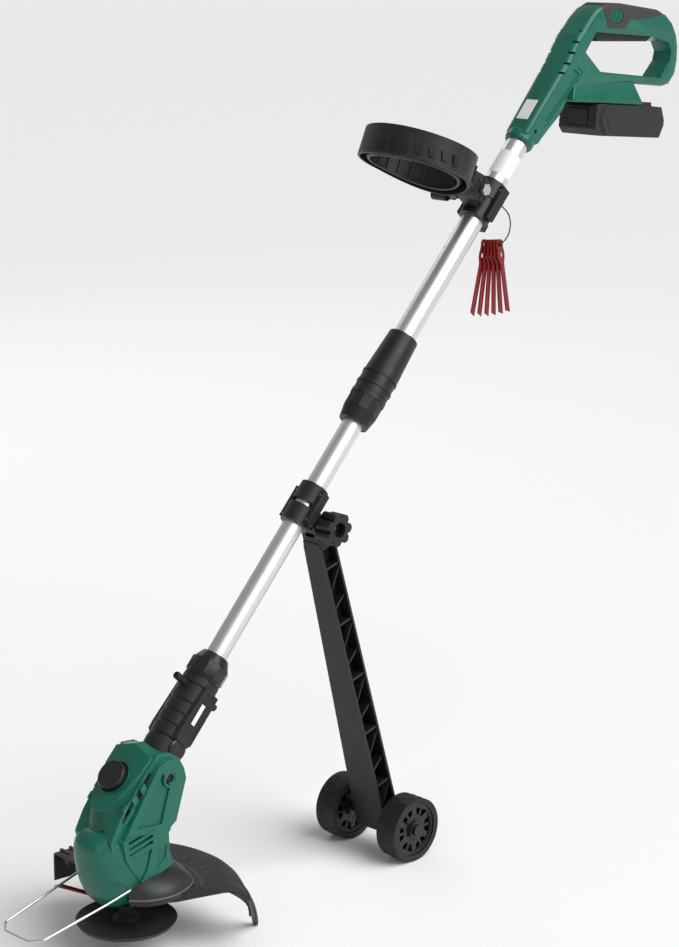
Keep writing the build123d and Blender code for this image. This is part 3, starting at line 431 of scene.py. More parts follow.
def finish_hidden():
    """CAD nodes that keep their own form get the material of their slot."""
    slots = {s["node"]: s["material_slot"] for s in frame["record"]["subparts"]}
    for node, obj in NODES.items():
        obj.data.materials.clear()
        obj.data.materials.append(SLOT_MATERIAL[slots[node]])
        for polygon in obj.data.polygons:
            polygon.use_smooth = True
        obj.data.set_sharp_from_angle(angle=radians(35))


finish_hidden()


# ---- rear handle ----
def battery_frame(x, y, z):
    """A point of the battery by its own length, width and height, from its centre."""
    tilt = radians(5.5)
    return (816.5 + x * cos(tilt) + z * sin(tilt), y, 667.8 - x * sin(tilt) + z * cos(tilt))


BODY_OUTLINE = [
    (617.7, 664.3), (694.6, 747.1), (720.1, 780.8), (731.0, 790.0), (742.0, 801.0), (757.0, 812.0),
    (775.0, 818.0),
    (812.0, 816.0), (888.0, 805.5), (909.0, 798.0), (924.0, 787.0), (934.0, 772.0), (938.0, 757.0),
    (938.0, 738.0),
    (933.0, 720.0), (920.0, 708.0), (905.0, 706.0), (865.0, 710.5), (838.0, 713.0), (712.0, 716.0),
    (691.8, 686.0), (654.9, 656.2), (645.6, 647.1),
]
OPENING = [
    (733.0, 759.0), (755.0, 783.0), (875.0, 772.0), (914.0, 762.0), (921.0, 750.0), (918.0, 738.0),
    (897.0, 717.0), (860.0, 722.0), (766.0, 733.0),
]
HANDLE_PLAN = [(600.0, 17.0), (640.0, 17.5), (700.0, 20.0), (740.0, 20.0), (790.0, 17.0), (890.0, 16.0),
    (945.0, 13.5)]
PAD_REGION = [
    (768.0, 832.0), (769.0, 812.0), (772.0, 803.0), (777.0, 798.0), (778.0, 790.0), (782.0, 787.0),
    (812.0, 785.0),
    (820.0, 789.0), (826.0, 795.5), (872.0, 797.0), (896.0, 799.5), (900.0, 804.0), (904.0, 832.0),
]


def half_width(x):
    """The handle's half-width at a place along the machine."""
    for (x0, w0), (x1, w1) in zip(HANDLE_PLAN, HANDLE_PLAN[1:]):
        if x <= x1:
            return w0 + (w1 - w0) * (x - x0) / (x1 - x0)
    return HANDLE_PLAN[-1][1]


def soften(obj, width, segments):
    """Rounds every sharp edge by the width, for good."""
    bevel = obj.modifiers.new("soft", "BEVEL")
    bevel.width = width * MM
    bevel.segments = segments
    bevel.limit_method = "ANGLE"
    bevel.angle_limit = radians(50)
    bake(obj)


def handle_form(name, inflate, round_size):
    """The D-handle's outer form with soft edges and its hand opening."""
    mid_x, mid_z = 800.0, 755.0
    ring = []
    for x, z in BODY_OUTLINE:
        reach = sqrt((x - mid_x) ** 2 + (z - mid_z) ** 2)
        ring.append((x + inflate * (x - mid_x) / reach, z + inflate * (z - mid_z) / reach))
    widest = 20.0 + inflate
    form = slab(name, ring, -widest, widest)
    soften(form, round_size, 5)
    cut(form, slab("tool", OPENING, -30, 30))
    soften(form, 2.2, 3)
    for vertex in form.data.vertices:
        x = (vertex.co.x - PIVOT.x) / MM
        vertex.co.y = PIVOT.y + (vertex.co.y - PIVOT.y) * (half_width(x) + inflate) / widest
    return form


def side_tool(corners, depth, side):
    """A cutter for the handle's side face, following its half-width. Corners are (along, below) the shaft."""
    inner, outer = [], []
    for s, t in corners:
        x, _, z = shaft_at(s, t)
        inner.append((x, side * (half_width(x) - depth), z))
        outer.append((x, side * 30, z))
    return extruded("tool", inner, outer)


def shaft_slab(name, corners, y_low, y_high):
    """A solid by corners of (along, below), swept across the machine."""
    return extruded(name, [shaft_at(s, t, y_low) for s, t in corners], [shaft_at(s, t, y_high) for s,
        t in corners])


HANDLE_PANEL = [(934, -7.0), (938, 9.0), (1035, 16.5), (1032, -3.0)]
HANDLE_PANEL_DEEP = [(943.5, -3.5), (946.5, 6.2), (1028.5, 13.2), (1026.9, 1.5)]


def handle_bracket():
    """The flared bracket that the battery's rail slides into."""
    top = [(x, side * 18.0, z) for x, z in ((714, 722), (836, 716)) for side in (-1, 1)]
    wide = [(x, side * 26.4, z) for x, z in ((701, 704.5), (843, 693)) for side in (-1, 1)]
    foot = [battery_frame(x, side * 26.4, 20.8) for x in (-115, 28) for side in (-1, 1)]
    bracket = hull("handle_bracket", top + wide + foot)
    soften(bracket, 1.6, 3)
    channel = [battery_frame(x, y, z) for x, y, z in ((-58.6, -18.6, 10), (-58.6, 18.6, 10), (80, 18.6, 10),
        (80, -18.6, 10))]
    roof = [battery_frame(x, y, z) for x, y, z in ((-58.6, -18.6, 25.6), (-58.6, 18.6, 25.6),
        (80, 18.6, 25.6), (80, -18.6, 25.6))]
    cut(bracket, extruded("tool", channel, roof))
    return bracket


def handle_body():
    body = handle_form("handle_body", 0.0, 7.0)
    for side in (-1, 1):
        cut(body, side_tool(HANDLE_PANEL, 1.1, side), side_tool(HANDLE_PANEL_DEEP, 2.6, side))
        for k in range(5):
            low = 1004 + 15 * k
            front = -15.1 - 0.0168 * (low - 907) - max(0.0, low - 1020) * 0.21
            slit = [(low, front + 0.2), (low + 3.4, front + 0.2), (low + 8, front + 7.5),
                (low + 4.6, front + 7.5)]
            cut(body, side_tool(slit, 7.0, side))
        hole = [(639 + 3.0 * cos(2 * pi * k / 24), 667 + 3.0 * sin(2 * pi * k / 24)) for k in range(24)]
        cut(body, slab("tool", hole, *sorted((side * 13.0, side * 30))))
    cut(body, slab("tool", [(763.5, 760), (763.5, 790), (884, 786), (884, 758)], -9.0, 9.0))
    cut(body, slab("tool", oval_side(797, 801, 13.5, 9.5), -30, -11.5))
    placed(rounded(body, 0.5), "root", GREEN, ["handle_shell_left", "handle_shell_right"])
    placed(rounded(handle_bracket(), 0.5), "root", GREEN)


def handle_collar():
    """The flared collar where the tube enters the handle, and the pale label above it."""
    collar = turned("handle_collar", [(14.1, 903), (17.0, 903), (18.6, 906), (18.6, 914), (17.0, 917),
        (14.1, 917)], (0, 0, 0), UP_SHAFT)
    placed(rounded(collar, 0.8), "root", GREEN)
    spots = ((931, -8.5), (931, 9.5), (961, 9.5), (961, -8.5))
    plate = extruded("handle_label", [shaft_at(s, -14.8 - 0.0168 * (s - 907), y) for s, y in spots],
        [shaft_at(s, -15.6 - 0.0168 * (s - 907), y) for s, y in spots])
    placed(rounded(plate, 0.2), "root", LABEL)


def grip_cover():
    """The soft pad moulded over the top of the grip."""
    pad = handle_form("grip_cover", 0.5, 7.3)
    combine(pad, slab("tool", PAD_REGION, -40, 40), "INTERSECT")
    cut(pad, slab("tool", oval_side(797, 801, 13.6, 9.6), -30, 0))
    placed(rounded(pad, 0.5), "root", SOFT, ["grip_overmould"])


def oval_side(x, z, reach_x, reach_z):
    """A racetrack-like oval in the side view."""
    return [(x + reach_x * cos(a), z + reach_z * sin(a)) for a in (2 * pi * k / 40 for k in range(40))]


def lock_off():
    """The oval lock-off button with slanted ribs."""
    low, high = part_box("lock_off_button")
    centre = (low + high) / 2 - PIVOT
    x, z = centre.x / MM, centre.z / MM
    face, back = (low.y - PIVOT.y) / MM, (high.y - PIVOT.y) / MM
    button = slab("lock_off_cap", oval_side(x, z, 13.0, 9.0), face + 1.0, back)
    placed(rounded(button, 0.8), "lock_off_button", GREEN, ["lock_off_button"])
    for k in range(4):
        cx = x - 7.8 + 5.2 * k
        reach = 7.6 * sqrt(max(0.1, 1 - ((cx - x) / 13) ** 2))
        rib = [(cx - 1.3 - 0.25 * reach, z - reach), (cx + 0.9 - 0.25 * reach, z - reach),
            (cx + 1.3 + 0.25 * reach, z + reach), (cx - 0.9 + 0.25 * reach, z + reach)]
        placed(rounded(slab(f"lock_off_rib_{k}", rib, face, face + 1.6), 0.4), "lock_off_button",
            GREEN)


handle_body()
handle_collar()
grip_cover()
lock_off()


# ---- cutting head ----
NOSE_SLICES = [
    # height, front, rear, half width
    (-47.5, -82.0, -30.0, 20.0), (-50.0, -87.5, -22.0, 25.0), (-54.0, -93.0, -14.0, 29.5), (-60.0, -97.5,
    -7.0, 33.0), (-68.0, -99.5, -3.0, 35.0), (-84.0, -98.5, 0.0, 36.0),
    (-100.0, -95.5, 3.0, 36.0), (-112.0, -92.0, -2.0, 34.5), (-122.0, -88.0, -10.0, 31.0), (-131.0, -82.5,
    -19.0, 26.0),
    (-138.0, -76.0, -28.0, 20.0), (-142.5, -67.0, -37.0, 13.0),
]


def oval_slice(z, front, rear, half, steps=48, square=2.7):
    """A rounded horizontal section, fuller than an ellipse."""
    centre, reach = (front + rear) / 2, (rear - front) / 2
    ring = []
    for k in range(steps):
        a = 2 * pi * k / steps
        c, s = cos(a), sin(a)
        power = 2 / square
        ring.append((centre + reach * abs(c) ** power * (1 if c > 0 else -1), half * abs(s) ** power * (1
            if s > 0 else -1), z))
    return ring


def head_nose():
    """The smooth lower bowl of the casing."""
    nose = skinned("head_nose", [oval_slice(*s) for s in NOSE_SLICES])
    placed(rounded(nose, 0.8, angle=40), "head", GREEN, ["head_shell_left",
        "head_shell_right"])


head_nose()

SHIELD_EDGE = [(-22.0, 29.5, 29.0), (-38.0, 28.5, 14.5), (-52.0, 25.0, 0.5), (-64.0, 21.0, -11.0),
    (-73.0, 15.5, -19.0), (-79.0, 8.0, -23.5)]

SKIRT_FOOT = [(-23.0, 30.5, 6.0), (-39.0, 30.0, -9.5), (-54.0, 27.0, -21.5), (-66.0, 23.5, -33.5),
    (-76.0, 16.5, -42.5), (-81.5, 8.5, -47.5)]


def head_shield():
    """The front shield: a shallow roof along the shaft, with a deep skirt under its tip."""
    top = [(-20.8, 0, 38.1), (-81.5, 0, -25.0), (-6.0, 0, 36.0), (-7.0, 22.0, 30.5), (-7.0, -22.0, 30.5)]
    rim = [(x, side * y, z) for x, y, z in SHIELD_EDGE for side in (-1, 1)]
    under = [(x, side * y, z) for x, y, z in SKIRT_FOOT for side in (-1, 1)] + [(-83.5, 0, -48.5)]
    brim = [(x + 2.5, side * y, z - 3.4) for x, y, z in SHIELD_EDGE for side in (-1, 1)]
    tuck = [(x + 1.6, side * (y - 0.4), z - 2.6) for x, y, z in SHIELD_EDGE for side in (-1, 1)]
    shield = hull("head_shield", top + rim + brim)
    skirt = hull("head_skirt", tuck + under)
    # The skirt under the shield's tip gets the darker green: painted shade.
    placed(rounded(skirt, 1.2), "head", GREEN_SHADED)
    recess = turned("tool", [(0, -80), (18.4, -80), (18.4, -36.0), (0, -36.0)], shaft_at(-30.5, 0), BELOW)
    cut(shield, recess)
    placed(rounded(shield, 1.3), "head", GREEN)
    lip = turned("button_seat", [(17.7, -41.0), (19.6, -42.2), (20.6, -41.6), (20.6, -34.0), (17.7, -34.0)],
        shaft_at(-30.5, 0), BELOW)
    # The seat round the button recess gets the darker green: painted shade.
    placed(rounded(lip, 0.3), "head", GREEN_SHADED)


head_shield()


def head_core(side, word):
    """The casing behind the shield, on one side."""
    y = sorted((side * 12.0, side * 30.5))
    outline = [(-14, 30), (4, 28), (18, 18), (26, 4), (29, -9), (13, -56), (-4, -66), (-20, -80),
        (-80, -80), (-84, -55), (-72, -34), (-56, -14), (-38, 6)]
    core = slab("head_core_" + word, outline, *y)
    cut(core, slab("tool", [(-13, -26), (-19, 0), (-10, 60), (60, 60), (60, 9), (11.8, -20.2)], -24.0,
        24.0))
    placed(rounded(core, 2.0), "head", GREEN)


both_sides(head_core)

ARM_EDGE = [(-24.0, 10.5), (-16.5, 18.5), (-6.0, 23.0), (5.0, 22.5), (13.0, 17.0), (17.0, 7.0),
    (15.8, -6.0), (8.0, -40.0), (-2.0, -64.0), (-16.0, -61.0), (-62.0, -53.5), (-72.0, -58.0)]
ARM_PANEL = [(-12.0, 9.0), (-1.0, -8.5), (-14.6, -50.0), (-50.0, -45.5)]
VENTS = [[(-64, -57 - 7 * k), (-29, -50.5 - 7 * k), (-28, -53.9 - 7 * k), (-63, -60.4 - 7 * k)]
    for k in range(3)]
SIDE_TRIANGLE = [(-22.0, -78.0), (-8.0, -76.0), (-11.0, -92.0), (-24.0, -100.0)]
KITE = [(-61.0, -77.0), (-30.0, -74.5), (-38.0, -98.0), (-46.0, -108.5), (-51.0, -103.0)]
CHEEK = [(-73.0, -55.0), (-62.0, -51.5), (-16.0, -51.5), (-3.0, -60.0), (-2.0, -84.0), (3.0, -103.0),
    (-22.0, -111.0), (-47.0, -112.0), (-58.0, -98.0), (-70.0, -78.0)]


def bevelled_plate(name, outline, side, inner, outer, inset):
    """A raised side plate whose outer face is a little smaller than its foot."""
    cx = sum(x for x, z in outline) / len(outline)
    cz = sum(z for x, z in outline) / len(outline)
    face = []
    for x, z in outline:
        reach = sqrt((x - cx) ** 2 + (z - cz) ** 2)
        pull = 1 - inset / reach
        face.append((cx + (x - cx) * pull, side * outer, cz + (z - cz) * pull))
    return extruded(name, [(x, side * inner, z) for x, z in outline], face)


def head_arm(side, word):
    """The side plate with its pivot boss and recessed panel, and the cheek with the vents below it."""
    arm = bevelled_plate("head_arm_" + word, ARM_EDGE, side, 29.0, 36.6, 1.6)
    panel = slab("tool", ARM_PANEL, *sorted((side * 34.2, side * 45)))
    bore = slab("tool", [(5.0 * cos(2 * pi * k / 28), 5.0 * sin(2 * pi * k / 28)) for k in range(28)],
        *sorted((side * 33.0, side * 45)))
    cut(arm, panel, bore)
    placed(rounded(arm, 0.8), "head", GREEN)
    ring = turned("pivot_ring_" + word, [(7.5, side * 35.9), (10.5, side * 35.9), (10.5, side * 37.3),
        (7.5, side * 37.3)], (0, 0, 0), (0, 1, 0))
    placed(rounded(ring, 0.5), "head", GREEN)
    # A near-black disc at the foot of the bore: painted shade.
    pit = turned("pivot_pit_shade_" + word, [(0.01, side * 34.1), (4.8, side * 34.1), (4.8, side * 34.7),
        (0.01, side * 34.7)], (0, 0, 0), (0, 1, 0), steps=32)
    placed(rounded(pit, 0), "head", SHADE_BLACK)
    cheek = bevelled_plate("head_cheek_" + word, CHEEK, side, 29.0, 37.4, 2.2)
    for vent in VENTS:
        cut(cheek, slab("tool", vent, *sorted((side * 33.0, side * 45))))
    cut(cheek, slab("tool", KITE, *sorted((side * 35.4, side * 45))), slab("tool", SIDE_TRIANGLE,
        *sorted((side * 36.2, side * 45))))
    placed(rounded(cheek, 0.7), "head", GREEN)
    # A near-black sheet behind the vents: painted shade.
    back = slab("vent_shade_sheet_" + word, [(-65, -56.5), (-29, -50), (-27.5, -69), (-63.5, -75.5)],
        *sorted((side * 32.4, side * 33.1)))
    placed(rounded(back, 0), "head", SHADE_BLACK)


both_sides(head_arm)


def head_teeth(side, word):
    """The notched ledge between the shield and the arm."""
    for k in range(3):
        s, t = -22 - 15 * k, -24 - 1.5 * k
        corners = [(s, t - 5), (s - 4, t + 6), (s - 13, t + 6), (s - 9, t - 5)]
        tooth = shaft_slab(f"head_tooth_{word}_{k}", corners,
            *sorted((side * 26.0, side * (34.2 - 1.6 * k))))
        placed(rounded(tooth, 0.9), "head", GREEN)
    # A near-black sheet in the gap between the shield and the arm: painted shade.
    gap = slab("head_gap_shade_" + word, [(-20, 6), (-26, 13), (-60, -22), (-67, -35), (-58, -40)],
        *sorted((side * 29.0, side * 31.0)))
    placed(rounded(gap, 0.3), "head", SHADE_BLACK)


both_sides(head_teeth)


def head_brow():
    """The smooth lip that runs round the top of the nose and up both sides to the arms."""
    spine = [(-50.0, 31.0, -19.0), (-60.0, 30.0, -31.0), (-70.0, 26.5, -42.5), (-79.0, 20.0, -50.0),
        (-85.5, 11.0, -54.0), (-88.0, 0.0, -55.5)]
    spine += [(x, -y, z) for x, y, z in reversed(spine[:-1])]
    rings = []
    for k, (x, y, z) in enumerate(spine):
        before, after = Vector(spine[max(0, k - 1)]), Vector(spine[min(len(spine) - 1, k + 1)])
        run = after - before
        out = Vector((run.y, -run.x, 0)).normalized()
        if out.dot(Vector((x + 40, y, 0))) < 0:
            out = -out
        rings.append([tuple(Vector((x, y, z)) + out * o + Vector((0, 0, 1)) * u) for o, u in ((-6, 2.4),
            (0.2, 2.4), (2.6, 0.6), (3.4, -3.0), (2.4, -7.0), (-6, -8.0))])
    brow = skinned("head_brow", rings)
    placed(rounded(brow, 1.0, angle=35), "head", GREEN)


head_brow()


def head_cover():
    """The rear cover of the casing and the collar round the neck."""
    outline = [(14, 20), (24, 13), (34, -4), (36, -15), (20, -58), (5, -70), (-6, -70), (-14, -60),
        (10, -24)]
    cover = slab("head_rear_cover", outline, -21.0, 21.0)
    cut(cover, turned("tool", [(0, -30), (19.5, -30), (25.5, 18), (25.5, 200), (0, 200)], (0, 0, 0),
        UP_SHAFT))
    placed(rounded(cover, 2.2), "head", GREEN)
    top = turned("head_neck_collar", [(24.2, 6), (24.2, 17), (26.6, 19.5), (30, 15.5), (31, 6)], (0, 0, 0),
        UP_SHAFT)
    cut(top, slab("tool", [(12, 60), (12, -60), (120, -60), (120, 60)], -60, 60))
    placed(rounded(top, 0.8), "head", GREEN)


head_cover()


# ---- neck ----
def neck_barrel():
    """The ribbed barrel of the neck."""
    profile = [(12.6, 34), (12.6, 118), (22.2, 118)]
    for along in (107, 85, 70, 55, 40):
        profile += [(22.2, along + 1.6), (20.9, along + 0.8), (20.9, along - 0.8), (22.2, along - 1.6)]
    profile += [(22.2, 17), (19.0, 12), (17.5, 0), (4.2, 0), (4.2, 20), (8.0, 20), (8.0, 34)]
    barrel = turned("neck_barrel", profile, (0, 0, 0), UP_SHAFT, steps=96)
    placed(rounded(barrel, 0.5), "neck", BLACK, ["neck_shell_left", "neck_shell_right"])


neck_barrel()


def neck_side(side, word):
    """The raised flat cheek of the neck, with a plain pale label."""
    foot = [(34, -15), (30, 12), (38, 19), (112, 19), (114, -13), (50, -16)]
    face = [(43, -12), (40, 9), (46, 15), (108, 15), (109, -9.5), (52, -12.5)]
    low = [shaft_at(s, t, side * 11.0) for s, t in foot]
    high = [shaft_at(s, t, side * 23.6) for s, t in face]
    cheek = extruded("neck_cheek_" + word, low, high)
    cut(cheek, shaft_slab("tool", [(54, -9.0), (50, 8), (52, 12), (104, 12), (105, -7.5)],
        *sorted((side * 23.0, side * 30))))
    placed(rounded(cheek, 0.9), "neck", BLACK)
    bulge = turned("neck_bulge_" + word, [(0.01, side * 6), (13.5, side * 6), (13.5, side * 21.0),
        (10.5, side * 22.6), (0.01, side * 22.6)], shaft_at(33, 2), (0, 1, 0), steps=40)
    placed(rounded(bulge, 0.8), "neck", BLACK_GLOSS)
    label = shaft_slab("neck_label_" + word, [(66, -2.5), (66, 3.5), (92, 3.5), (92, -2.5)],
        *sorted((side * 22.8, side * 23.25)))
    placed(rounded(label, 0.1), "neck", LABEL)


both_sides(neck_side)


def lock_pin_cap():
    """The round push pin in front of the neck."""
    cap = turned("lock_pin_cap", [(0.01, -40.0), (3.6, -40.0), (4.4, -39.0), (4.4, -20.0), (0.01, -20.0)],
        shaft_at(104, 0), BELOW, steps=32)
    placed(rounded(cap, 0.3), "swivel_lock", BLACK)


lock_pin_cap()


# ---- wheels ----
def hub_face(wheel, word, y_low, y_high):
    """A wheel's pierced face: six windows between broad spokes round a small hub."""
    axle = (Vector(JOINTS["wheel_left_spin"]["pos_m"]) - PIVOT) / MM
    face = turned(f"hub_face_{word}", [(9.0, y_low), (32.2, y_low), (32.2, y_high), (9.0, y_high)],
        (axle.x, 0, axle.z), (0, 1, 0), steps=60)
    for k in range(6):
        window = []
        for radius, spread in ((19.0, -13), (19.0, 13), (22, 20), (28.8, 21), (28.8, -21), (22, -20)):
            a = radians(60 * k + spread)
            window.append((axle.x + radius * cos(a), axle.z + radius * sin(a)))
        cut(face, slab("tool", window, y_low - 1, y_high + 1))
    for k in range(10):
        a = radians(36 * k + 18)
        spot = [(axle.x + 13.6 * cos(a) + 1.3 * cos(b), axle.z + 13.6 * sin(a) + 1.3 * sin(b))
            for b in (2 * pi * j / 10 for j in range(10))]
        cut(face, slab("tool", spot, y_low - 1, y_high + 1))
    placed(rounded(face, 0.5), wheel, BLACK_GLOSS)


def axle_tip(side, word):
    """The bright end of the axle in its cap."""
    axle = (Vector(JOINTS["wheel_left_spin"]["pos_m"]) - PIVOT) / MM
    tip = turned("axle_tip_" + word, [(0.01, side * 70.0), (2.4, side * 70.0), (2.4, side * 70.78),
        (0.01, side * 70.78)], (axle.x, 0, axle.z), (0, 1, 0), steps=24)
    placed(rounded(tip, 0.2), "strut", STEEL)


both_sides(axle_tip)

for wheel, side in (("wheel_left", -1), ("wheel_right", 1)):
    hub_face(wheel, wheel + "_out", *sorted((side * 52 + side * 9.6, side * 52 + side * 11.4)))
    hub_face(wheel, wheel + "_in", *sorted((side * 52 - side * 9.6, side * 52 - side * 11.4)))


# ---- blade guard ----
SPINDLE = Vector(JOINTS["spindle_spin"]["pos_m"]) - PIVOT
SPINDLE_X = SPINDLE.x / MM


def around(radius, angle, z):
    a = radians(angle)
    return (SPINDLE_X + radius * cos(a), radius * sin(a), z)


FLAT_TOP = [(46, -129.4), (70, -129.6), (82, -130), (84, -128.6), (88, -128.6), (90, -130.2), (104, -130.6)]
RIM_ROLL = [(110, 0.03), (116, 0.13), (122, 0.28), (128, 0.47), (133, 0.68), (137, 0.86)]
DROOP = [(-46, 21.0), (-30, 19.0), (-24, 15.0), (-15, 9.5), (-2, 5.0), (17, 2.2), (30, 1.0), (90, 1.0)]


def rim_droop(angle):
    """How far the guard's rim sinks below its flat top, most beside the tail."""
    for (a0, d0), (a1, d1) in zip(DROOP, DROOP[1:]):
        if angle <= a1:
            return d0 + (d1 - d0) * (angle - a0) / (a1 - a0)
    return DROOP[-1][1]


def guard_section(angle):
    """The guard's section at one angle: top from the hub to the rolled rim, and back underneath."""
    droop = rim_droop(angle)
    edge = -131.6 - droop
    foot = min(-147.5, edge - 13.0) - 20.0 * max(0.0, min(1.0, (angle - 64) / 8))
    foot = max(foot, -170.0) if angle > 0 else min(foot, -156.0)
    top = FLAT_TOP + [(r, -130.8 - droop * f) for r, f in RIM_ROLL]
    rim = [(139.4, edge - 0.4), (140.8, edge - 3.0), (141.0, 0.5 * (edge + foot)), (141.0, foot),
        (138.2, foot), (138.0, 0.5 * (edge + foot)), (137.4, edge - 5.0)]
    under = [(r, -133.9 - droop * f) for r, f in reversed(RIM_ROLL)] + [(80, -133.0), (46, -132.4)]
    return [around(r, angle, z) for r, z in top + rim + under]


TAIL_STATIONS = [
    # angle, radius, height, half of the run, thickness
    (-33.0, 138.2, -149.0, 15.5, 3.4), (-31.5, 140.5, -154.0, 16.0, 4.8), (-29.8, 143.0, -160.0, 14.2, 4.8),
    (-28.0, 146.0, -168.0, 12.0, 4.6), (-26.0, 149.5, -178.0, 10.0, 4.4), (-24.0, 153.0, -189.0, 8.4, 4.2),
    (-22.0, 156.2, -199.5, 6.6, 4.0), (-20.8, 157.6, -206.2, 4.6, 3.6),
]


def tail_ring(angle, radius, z, half_run, thick):
    turn = half_run / radius * 180 / pi
    outer = [around(radius + thick / 2, angle - turn + turn * k / 2, z) for k in range(5)]
    inner = [around(radius - thick / 2, angle + turn - turn * k / 2, z) for k in range(5)]
    return outer + inner


def guard_piece():
    angles = [-46 + 1.5 * k for k in range(89)]
    guard = skinned("guard_sweep", [guard_section(a) for a in angles])
    placed(rounded(guard, 0.8, angle=35), "head", GUARD, ["blade_guard"])
    claw = skinned("guard_tail", [tail_ring(*station) for station in TAIL_STATIONS])
    placed(rounded(claw, 1.2, angle=40), "head", GUARD)
    lip_line = [(44, -130.5), (44, -149.5), (60, -147.5), (76, -144), (110, -137), (124, -135.5),
        (124, -133.5), (110, -130.9)]
    edge = extruded("guard_near_lip", [around(r, -46.2, z) for r, z in lip_line],
        [around(r, -46.2 + 170 / r, z) for r, z in lip_line])
    placed(rounded(edge, 0.8), "head", GUARD)
    collar = [[around(dome_foot(a) - d, a, z) for d, z in ((9, -128.5), (4.5, -128.5), (6.5, -137.5),
        (9, -137.5))] for a in range(-124, -38, 5)]
    placed(rounded(skinned("guard_collar", collar), 0.6, angle=40), "head", GUARD)
    for k in range(9):
        angle = -20 + 9.0 * k
        rib = [[around(r, angle - 1.6, z) for r in (94, 107)] + [around(r, angle + 1.6, z) for r in (107,
            94)] for z in (-133.0, -129.9)]
        placed(rounded(skinned(f"guard_boss_{k}", rib), 0.5), "head", GUARD)
    for k in range(4):
        angle = 67 + 5 * k
        fin = [[around(r, angle - 0.8, z) for r in (120, 139)] + [around(r, angle + 0.8, z) for r in (139,
            120)] for z in (-145.0, -129.5)]
        placed(rounded(skinned(f"guard_fin_{k}", fin), 0.5), "head", GUARD)


def dome_foot(angle):
    """The radius of the shroud's foot: full behind, smaller where it wraps under the casing."""
    return 76.0 - 33.0 * max(0.0, min(1.0, (-38.0 - angle) / 82.0))


def dome_section(angle):
    foot = dome_foot(angle)
    outer = [(28, -104), (0.60 * foot, -106.5), (0.78 * foot, -110.5), (0.91 * foot, -117),
        (foot - 0.6, -124), (foot, -129.2)]
    inner = [(foot - 3, -129.2), (foot - 5, -122), (0.7 * foot, -114), (28, -108)]
    return [around(r, angle, z) for r, z in outer + inner]


def guard_shroud():
    angles = [-126 + 4.0 * k for k in range(57)]
    dome = skinned("guard_shroud", [dome_section(a) for a in angles])
    placed(rounded(dome, 0.6, angle=40), "head", GUARD, ["guard_dome"])
    # A pale grey ring along the shroud's foot: painted highlight.
    highlight_bead = []
    for a in angles:
        foot = dome_foot(a)
        highlight_bead.append([around(foot - 1.2, a, -126.2), around(foot + 1.1, a, -126.6), around(foot + 1.3, a,
            -128.2), around(foot - 1.0, a, -128.6)])
    placed(rounded(skinned("shroud_highlight_bead", highlight_bead), 0.5, angle=40), "head", HIGHLIGHT_GREY)


guard_piece()
guard_shroud()


# ---- front loop handle ----
LOOP_CENTRE = (441.5, 0.0, 651.1)
LOOP_TILT = radians(25.0)
LOOP_HALF = (66.0, 72.0)
LOOP_FRONT = Vector((-cos(LOOP_TILT), 0, sin(LOOP_TILT)))
LOOP_UP = Vector((sin(LOOP_TILT), 0, cos(LOOP_TILT)))


def loop_at(u, v, w):
    """A point of the loop: u to its front, v across, w square to it."""
    p = Vector(LOOP_CENTRE) + LOOP_FRONT * u + Vector((0, v, 0)) + LOOP_UP * w
    return tuple(p)


def on_band(angle, inset, w, along=0.0):
    """A point of the band, inset from its outer face, and moved along the band."""
    c, s = cos(radians(angle)), sin(radians(angle))
    a, b = LOOP_HALF
    out = Vector((b * c, a * s)).normalized()
    run = Vector((-out.y, out.x))
    p = Vector((a * c, b * s)) - out * inset + run * along
    sag = 9.0 if p.x < 0 else 3.0
    return loop_at(p.x, p.y, w - sag * (p.x / a) ** 2)


def band_block(name, angle, insets, width, w_low, w_high, slant=0.0):
    """A block across the band, its top moved along the band by slant."""
    spots = ((insets[0], -0.5), (insets[0], 0.5), (insets[1], 0.5), (insets[1], -0.5))
    low = [on_band(angle, i, w_low, width * f) for i, f in spots]
    high = [on_band(angle, i, w_high, width * f + slant) for i, f in spots]
    return extruded(name, low, high)


BAND_SECTION = [
    # inset from the outer face, height
    (1.4, -17), (0.2, -15.2), (0, -12), (0.7, -11.2), (0.3, 1), (0.9, 6.5), (2.4, 11), (4.8, 14.8),
    (7.6, 17), (10.6, 17), (13.2, 15), (15, 11),
    (12.0, 9), (12.0, -13), (15, -14.2), (15, -17), (12.4, -17), (9.5, -13), (9.5, 13), (3.0, 13),
    (3.0, -17),
]


def loop_piece():
    angles = [5.0 * k for k in range(73)]
    band = skinned("hand_loop", [[on_band(a, i, w) for i, w in BAND_SECTION] for a in angles], caps=False)
    bm = bmesh.new()
    bm.from_mesh(band.data)
    bmesh.ops.remove_doubles(bm, verts=bm.verts, dist=1e-5)
    bmesh.ops.recalc_face_normals(bm, faces=bm.faces)
    bm.to_mesh(band.data)
    bm.free()
    for k in range(7):
        cut(band, band_block("tool", -80 + 13.2 * k, (-2, 5.0), 6.4, -9.5, 1.5, 3.0))
    for angle in (-143, -131):
        for w in (-9.5, 2.0):
            cut(band, band_block("tool", angle, (-2, 2.3), 12.0, w, w + 9.5))
    placed(rounded(band, 0.7, angle=40), "aux_handle", BLACK, ["loop_handle"])
    for k in range(22):
        angle = 8 + 16.36 * k
        if not 160 < angle < 200:
            placed(rounded(band_block(f"loop_rib_{k}", angle, (11.0, 14.6), 2.4, -14.0, 10.0), 0.4),
                "aux_handle", BLACK)
    arm = cad_copy("loop_arm", "loop_handle")
    oval = [(LOOP_HALF[0] - 3, LOOP_HALF[1] - 3)] * 1
    a, b = oval[0]
    ring = [(a * cos(2 * pi * k / 48), b * sin(2 * pi * k / 48)) for k in range(48)]
    cut(arm, extruded("tool", [loop_at(u, v, -30) for u, v in ring], [loop_at(u, v, 30) for u, v in ring]))
    placed(rounded(arm, 1.2), "aux_handle", BLACK)


loop_piece()


